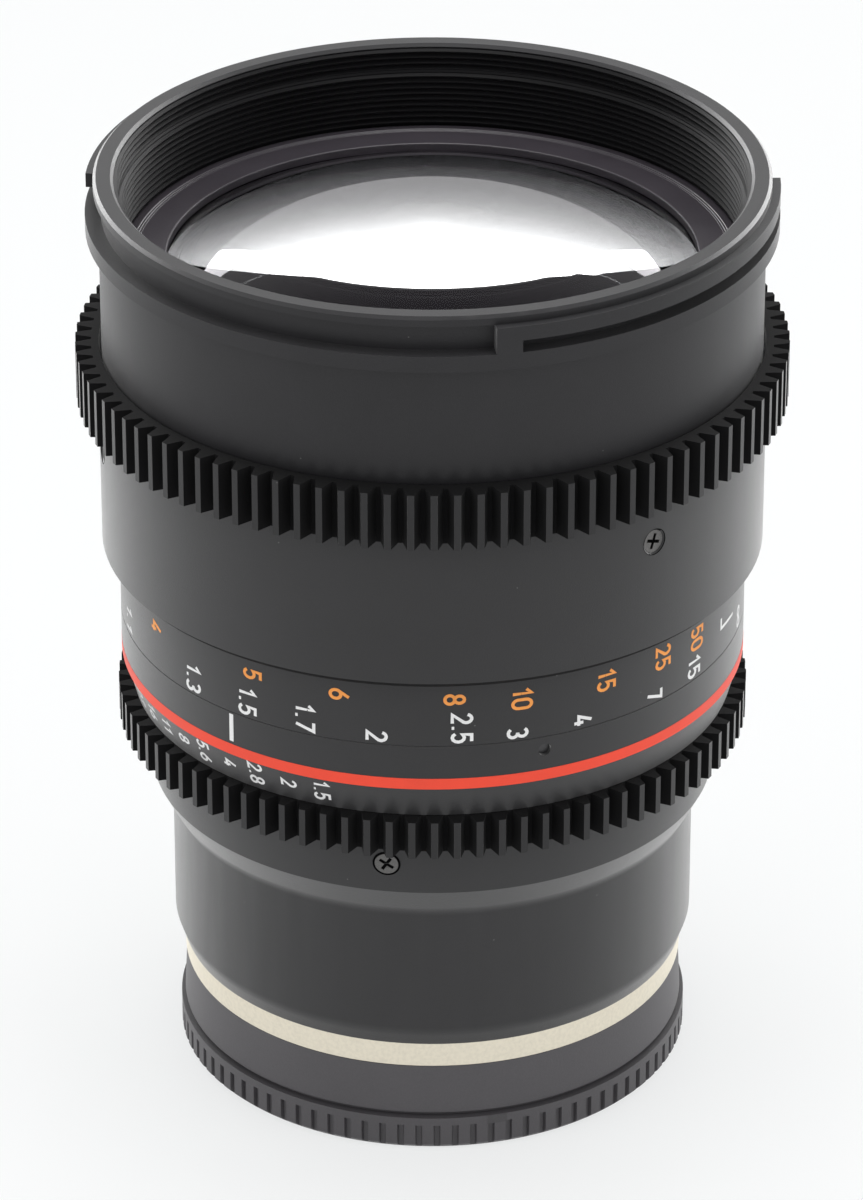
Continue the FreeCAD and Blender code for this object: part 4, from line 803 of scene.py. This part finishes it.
def finish(node, look):
    """Puts a finish on a CAD node, whose mesh stays as it is."""
    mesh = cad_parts[node].data
    mesh.materials.clear()
    mesh.materials.append(look)


class LENS_OT_soft_edges(bpy.types.Operator):
    """Break the sharp edges of the turned and moulded pieces"""

    bl_idname = "lens.soft_edges"
    bl_label = "Soft edges"

    def execute(self, context):
        for name in SOFTENED:
            soften(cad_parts[name], settings().grooves.edge)
        return {"FINISHED"}


def soften(target, width):
    """Joins the faces of a piece at their seams and rounds its sharp edges."""
    weld = target.modifiers.new("seams", "WELD")
    weld.merge_threshold = WELD_REACH * MM
    round_off = target.modifiers.new("soft_edges", "BEVEL")
    round_off.width = width
    round_off.segments = 2
    round_off.limit_method = "ANGLE"
    round_off.angle_limit = math.radians(ROUND_ANGLE)
    even = target.modifiers.new("even_shading", "WEIGHTED_NORMAL")
    even.keep_sharp = True


class LENS_OT_front_grooves(bpy.types.Operator):
    """Turn the anti-glare grooves of the front bore, from the retaining ring up to the lip"""

    bl_idname = "lens.front_grooves"
    bl_label = "Front grooves"

    def execute(self, context):
        size = settings().grooves
        pitch = size.pitch / MM
        depth = size.depth / MM
        floor_end, crest_start, crest_end = GROOVE_SHAPE
        top = top_of("front_barrel") - LIP_DROP
        foot = top_of("front_retaining_ring") + CLEAR
        profile = [(LOWER_BORE + WALL_BITE, foot), (LOWER_BORE + WALL_BITE, FILTER_FOOT - STEP_LAP),
                   (FILTER_BORE + WALL_BITE, FILTER_FOOT + CLEAR), (FILTER_BORE + WALL_BITE, top)]
        for number in range(int((top - foot) / pitch)):
            level = top - pitch * number
            root = (FILTER_BORE if level - pitch > FILTER_FOOT else LOWER_BORE) - WALL_LIFT
            profile += [(root, level), (root, level - floor_end * pitch),
                        (root - depth, level - crest_start * pitch),
                        (root - depth, level - crest_end * pitch)]
        profile.append((LOWER_BORE - WALL_LIFT, foot))
        piece(lathe("front_bore_grooves", profile, size.around), "root",
              bpy.data.materials["bore_black"])
        return {"FINISHED"}


class LENS_OT_ring_grooves(bpy.types.Operator):
    """Turn the front retaining ring's flat, its fine grooves and the bevel at the glass, black with
    painted shade
    """

    bl_idname = "lens.ring_grooves"
    bl_label = "Retaining ring grooves"

    def execute(self, context):
        size = settings().grooves
        pitch = size.fine_pitch / MM
        depth = size.fine_depth / MM
        floor_start, floor_end = FINE_SHAPE
        top = top_of("front_retaining_ring") + FACE_RISE
        outside = LOWER_BORE - FACE_MARGIN
        profile = [(outside, top - FACE_RIM), (outside, top), (FLAT_EDGE, top)]
        for number in range(FINE_GROOVES):
            radius = FLAT_EDGE - pitch * number
            drop = top - FINE_DROP * number
            profile += [(radius - floor_start * pitch, drop - depth),
                        (radius - floor_end * pitch, drop - depth), (radius - pitch, drop - FINE_DROP)]
        inner = FLAT_EDGE - pitch * FINE_GROOVES
        profile += [(inner - inwards, top - down) for inwards, down in FACE_FOOT]
        bevel = [(inner - inwards, top - down) for inwards, down in GLASS_BEVEL]
        piece(lathe("retaining_ring_face", profile, size.around), "root",
              bpy.data.materials["retaining_ring_black"])
        # The bevel at the glass is a real bevel, dark with painted shade
        piece(lathe("glass_bevel", bevel, size.around), "root",
              bpy.data.materials["inside_black"])
        return {"FINISHED"}


class LENS_OT_screw_heads(bpy.types.Operator):
    """Make the cross-head screws of the focus ring and of the rear barrel"""

    bl_idname = "lens.screw_heads"
    bl_label = "Screw heads"

    def execute(self, context):
        for ring in SCREWS:
            made = piece(wrapped(f"{ring.name}_heads", add_heads, ring), ring.body,
                         bpy.data.materials["screw_steel"])
            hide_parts(ring.node)
            piece(wrapped(f"{ring.name}_seats", add_shaded_seats, ring), ring.body,
                  bpy.data.materials["inside_black"])
        return {"FINISHED"}


def add_heads(shape, ring):
    """Adds the screws of a ring, each with its cross turned its own way."""
    sunk = Matrix.Translation((0.0, 0.0, -ring.sink * MM))
    for number in range(SCREW_COUNT):
        turned = Matrix.Rotation(math.radians(ring.turn + CROSS_STEP * number), 4, "Z")
        add_screw(shape, screw_place(ring, number) @ sunk @ turned)


def add_shaded_seats(shape, ring):
    """Adds the countersunk seats round the screws of a ring and the beds of their crosses, both dark with
    painted shade.
    """
    size = settings().screws
    seat = size.seat / MM
    rim = size.head / MM + CLEAR
    for number in range(SCREW_COUNT):
        place = screw_place(ring, number)
        wall = lathe("seat", [(seat, SEAT_LIP), (rim, -ring.sink), (rim, -ring.sink - SEAT_WALL),
                              (seat, -ring.sink - SEAT_WALL)], SEAT_FACETS)
        bed = lathe("bed", [(BED_RADIUS, -ring.bed), (BED_RADIUS, -ring.bed - BED_WALL),
                            (CORE, -ring.bed - BED_WALL), (CORE, -ring.bed)], BED_FACETS)
        for part in (wall, bed):
            part.transform(place)
            take_in(shape, part)


def screw_place(ring, number):
    """Where a screw of a ring lies in the wall: its own Z looks out, and its Y up the wall."""
    angle = math.radians(ring.azimuth + SCREW_STEP * number)
    outward = Vector((math.cos(angle), math.sin(angle), 0.0))
    side = Vector((-math.sin(angle), math.cos(angle), 0.0))
    place = Matrix.Identity(4)
    for column, axis in enumerate((side, Vector((0.0, 0.0, 1.0)), outward)):
        for row in range(3):
            place[row][column] = axis[row]
    place.translation = outward * ring.radius * MM + Vector((0.0, 0.0, ring.level * MM))
    return place @ Matrix.Rotation(math.radians(ring.lean), 4, "X")


def cross_outline(span, arm):
    """The twelve corners of a cross."""
    far = span / 2
    near = arm / 2
    quarter = [(far, -near), (far, near), (near, near)]
    corners = []
    for number in range(4):
        turn = math.radians(90.0 * number)
        corners += [(x * math.cos(turn) - y * math.sin(turn), x * math.sin(turn) + y * math.cos(turn))
                    for x, y in quarter]
    return corners


def circle_outline(radius):
    """The corners of a head's rim."""
    angles = [math.tau * step / HEAD_FACETS for step in range(HEAD_FACETS)]
    return [(radius * math.cos(angle), radius * math.sin(angle)) for angle in angles]


def add_screw(shape, place):
    """Adds one countersunk screw: a head plate with its cross, then its cone and shank."""
    size = settings().screws
    outline = bpy.data.curves.new("screw_outline", "CURVE")
    outline.dimensions = "2D"
    outline.fill_mode = "BOTH"
    outline.extrude = size.recess / 2
    outline.bevel_depth = HEAD_EDGE * MM
    outline.bevel_resolution = 1
    rim = size.head - outline.bevel_depth
    for corners in (circle_outline(rim), cross_outline(size.span, size.arm)):
        line = outline.splines.new("POLY")
        line.points.add(len(corners) - 1)
        line.use_cyclic_u = True
        for point, (x, y) in zip(line.points, corners):
            point.co = (x, y, 0.0, 1.0)
    holder = bpy.data.objects.new("screw_outline", outline)
    plate = bpy.data.meshes.new_from_object(holder)
    under = -size.recess / MM
    cone = lathe("screw_cone", [(size.head / MM, under), (SHANK, -CONE_FOOT), (SHANK, -SHANK_FOOT),
                                (CORE, -SHANK_FOOT), (CORE, under)], HEAD_FACETS)
    plate.transform(place @ Matrix.Translation((0.0, 0.0, -size.recess / 2)))
    cone.transform(place)
    for part in (plate, cone):
        take_in(shape, part)
    bpy.data.objects.remove(holder)
    bpy.data.curves.remove(outline)


class LENS_OT_cap_mark(bpy.types.Operator):
    """Set the plain alignment pad on the foot of the rear cap"""

    bl_idname = "lens.cap_mark"
    bl_label = "Cap mark"

    def execute(self, context):
        look = settings().finish
        pad = wrapped("cap_mark", add_mark, CAP_PAD, PAD_WIDTH, radius_of("rear_cap"), PAD_RISE)
        piece(pad, "rear_cap",
              grained("cap_mark_plastic", times(look.cap, PAD_TONE), 0.42, look.grain, bump=0.1))
        return {"FINISHED"}


class LENS_OT_distance_figures(bpy.types.Operator):
    """Paint the metre figures in white and the feet figures in orange on the focus scale"""

    bl_idname = "lens.distance_figures"
    bl_label = "Distance figures"

    def execute(self, context):
        look = settings().finish
        radius = radius_of("focus_scale_ring")
        piece(wrapped("metre_figures", add_metres, radius), "focus_ring",
              painted("white_paint", look.white), smooth=0)
        piece(wrapped("feet_figures", add_feet, radius), "focus_ring",
              painted("orange_paint", look.orange), smooth=0)
        return {"FINISHED"}


def add_metres(shape, radius):
    """Adds the metre figures, and the corner mark before infinity."""
    size = figure_size()
    for text, phi in METRES:
        add_figure(shape, text, phi, METRE_FOOT, straight(radius), size)
    add_mark(shape, CORNER_MARK, size.stroke, radius, size.paint)


def add_feet(shape, radius):
    """Adds the feet figures."""
    for text, phi, level in FEET:
        add_figure(shape, text, phi, level, straight(radius), figure_size(), middle=True)


class LENS_OT_stop_figures(bpy.types.Operator):
    """Paint the stop figures on the band of the aperture ring"""

    bl_idname = "lens.stop_figures"
    bl_label = "Stop figures"

    def execute(self, context):
        piece(wrapped("stop_figures", add_stops), "aperture_ring",
              bpy.data.materials["white_paint"], smooth=0)
        return {"FINISHED"}


def add_stops(shape):
    """Adds the stop figures."""
    size = figure_size(settings().marks.stop_scale)
    for text, phi in STOPS:
        add_figure(shape, text, phi, STOP_MIDDLE, stop_band, size, middle=True)


class LENS_OT_index_marks(bpy.types.Operator):
    """Paint the index line and the red line round the index ring"""

    bl_idname = "lens.index_marks"
    bl_label = "Index marks"

    def execute(self, context):
        radius = radius_of("index_ring")
        foot = foot_of("index_ring")
        paint = settings().marks.paint / MM
        index = wrapped("index_line", add_mark, INDEX_LINE, INDEX_WIDTH, radius, paint)
        piece(index, "root", bpy.data.materials["white_paint"], smooth=0)
        band = [(radius - PAINT_ROOT, foot + RED_LOW), (radius + paint, foot + RED_LOW),
                (radius + paint, foot + RED_HIGH), (radius - PAINT_ROOT, foot + RED_HIGH)]
        piece(lathe("red_line", band, settings().grooves.around), "root",
              painted("red_paint", settings().finish.red))
        return {"FINISHED"}


class LENS_OT_stage(bpy.types.Operator):
    """Set the floor, the light and the camera"""

    bl_idname = "lens.stage"
    bl_label = "Stage"

    def execute(self, context):
        stage = settings().stage
        scene = context.scene
        scene.view_settings.view_transform = "Standard"
        ground = white_floor(stage.whiteness)
        scene.world = studio(stage.sky)
        lights = {row[0]: lamp(*row) for row in LAMPS}
        fade_upwards(lights["backdrop"].data)
        scene.camera = photo_camera(stage)
        return {"FINISHED"}


def white_floor(whiteness):
    """A floor of white paper that keeps the lens's shadow."""
    floor = bpy.data.meshes.new("floor")
    corners = ((-1, -1), (1, -1), (1, 1), (-1, 1))
    floor.from_pydata([(x * FLOOR_REACH, y * FLOOR_REACH, 0.0) for x, y in corners], [], [(0, 1, 2, 3)])
    ground = bpy.data.objects.new("floor", floor)
    bpy.context.scene.collection.objects.link(ground)
    ground.location.z = -FLOOR_DROP
    look, shader, node, wire = material("floor_white")
    paper = node("ShaderNodeTexNoise", {
        "Vector": node("ShaderNodeTexCoord").outputs["Object"], "Scale": PAPER_GRAIN})
    tone = toned(node, paper.outputs["Fac"], shade(PAPER[0]), shade(PAPER[1]))
    wire(tone, "Base Color")
    preset(shader, {"Roughness": 0.6})
    bright = node("ShaderNodeEmission", {"Color": tone})
    share = maths(node, "MULTIPLY", seen_by_eye(node), whiteness)
    join_surfaces(look, node, share, shader.outputs["BSDF"], bright.outputs["Emission"])
    floor.materials.append(look)
    return ground


def studio(sky):
    """Even light from all round, and plain white where the camera sees it."""
    world = bpy.data.worlds.new("studio")
    world.use_nodes = True
    node = node_maker(world.node_tree)
    back = world.node_tree.nodes["Background"]
    strength = ranged(node, seen_by_eye(node), sky, 1.0)
    world.node_tree.links.new(strength, back.inputs["Strength"])
    back.inputs["Color"].default_value = shade(WHITE)
    return world


def photo_camera(stage):
    """The camera at the photograph's viewing angle."""
    camera = bpy.data.objects.new("camera", bpy.data.cameras.new("camera"))
    bpy.context.scene.collection.objects.link(camera)
    camera.location = (0.0, -stage.distance * math.cos(stage.elevation),
                       stage.target + stage.distance * math.sin(stage.elevation))
    camera.rotation_euler = Euler((math.pi / 2 - stage.elevation, 0.0, 0.0))
    camera.data.sensor_width = SENSOR
    camera.data.lens = stage.lens
    camera.data.shift_x = FRAME_SHIFT
    camera.data.clip_start = NEAREST
    return camera


def seen_by_eye(node):
    """One on rays from the camera and on those that mirrors and glass pass on, and zero elsewhere."""
    path = node("ShaderNodeLightPath").outputs
    direct = maths(node, "MAXIMUM", path["Is Camera Ray"], path["Is Glossy Ray"])
    return maths(node, "MAXIMUM", direct, path["Is Transmission Ray"])


def lamp(name, place, aim, size, power, only):
    """A soft lamp that faces a point; with only, one kind of ray sees it."""
    data = bpy.data.lights.new(name, "AREA")
    data.shape = "RECTANGLE"
    data.size, data.size_y = size
    data.energy = power
    made = bpy.data.objects.new(name, data)
    bpy.context.scene.collection.objects.link(made)
    made.location = place
    made.rotation_euler = (Vector(aim) - Vector(place)).to_track_quat("-Z", "Y").to_euler()
    made.visible_camera = False
    if only:
        for kind in ("visible_diffuse", "visible_glossy", "visible_transmission"):
            setattr(made, kind, kind == only)
    return made


def fade_upwards(light):
    """Dims a panel lamp towards its upper edge."""
    light.use_nodes = True
    node = node_maker(light.node_tree)
    across = node("ShaderNodeSeparateXYZ", {0: node("ShaderNodeNewGeometry").outputs["Parametric"]})
    fade = node("ShaderNodeMapRange", {"Value": across.outputs["Y"], "From Min": 1.0,
                                       "From Max": FADE_FOOT, "To Min": FADE_LEFT, "To Max": 1.0},
                interpolation_type="SMOOTHSTEP")
    glow = light.node_tree.nodes["Emission"]
    light.node_tree.links.new(fade.outputs["Result"], glow.inputs["Strength"])


class LensLooks(bpy.types.PropertyGroup):
    """Everything that can be set on the lens's looks."""

    finish: PointerProperty(type=LensFinish, name="Finish", description="Colours and grain")
    marks: PointerProperty(type=LensMarks, name="Marks", description="Painted figures and lines")
    grooves: PointerProperty(type=LensGrooves, name="Grooves", description="Grooves and soft edges")
    screws: PointerProperty(type=LensScrews, name="Screws", description="Screws that show")
    stage: PointerProperty(type=LensStage, name="Stage", description="Camera and light")


STEPS = (LENS_OT_finishes, LENS_OT_soft_edges, LENS_OT_front_grooves, LENS_OT_ring_grooves,
         LENS_OT_screw_heads, LENS_OT_cap_mark, LENS_OT_distance_figures, LENS_OT_stop_figures,
         LENS_OT_index_marks, LENS_OT_stage)


class LENS_PT_looks(bpy.types.Panel):
    """Lists the steps that dress the lens"""

    bl_idname = "LENS_PT_looks"
    bl_label = "Lens looks"
    bl_space_type = "VIEW_3D"
    bl_region_type = "UI"
    bl_category = "Lens"

    def draw(self, context):
        for step in STEPS:
            self.layout.operator(step.bl_idname)
        looks = context.scene.lens_looks
        for group in (looks.finish, looks.marks, looks.grooves, looks.screws, looks.stage):
            box = self.layout.box()
            for name in group.bl_rna.properties.keys():
                if name not in {"rna_type", "name"}:
                    box.prop(group, name)


CLASSES = (LensFinish, LensMarks, LensGrooves, LensScrews, LensStage, LensLooks, *STEPS, LENS_PT_looks)


def register():
    for one in CLASSES:
        bpy.utils.register_class(one)
    bpy.types.Scene.lens_looks = PointerProperty(
        type=LensLooks, name="Lens looks", description="Looks of the lens")


def unregister():
    del bpy.types.Scene.lens_looks
    for one in reversed(CLASSES):
        bpy.utils.unregister_class(one)


def main():
    register()
    for step in STEPS:
        group, name = step.bl_idname.split(".")
        getattr(getattr(bpy.ops, group), name)()


if __name__ == "__main__":
    main()
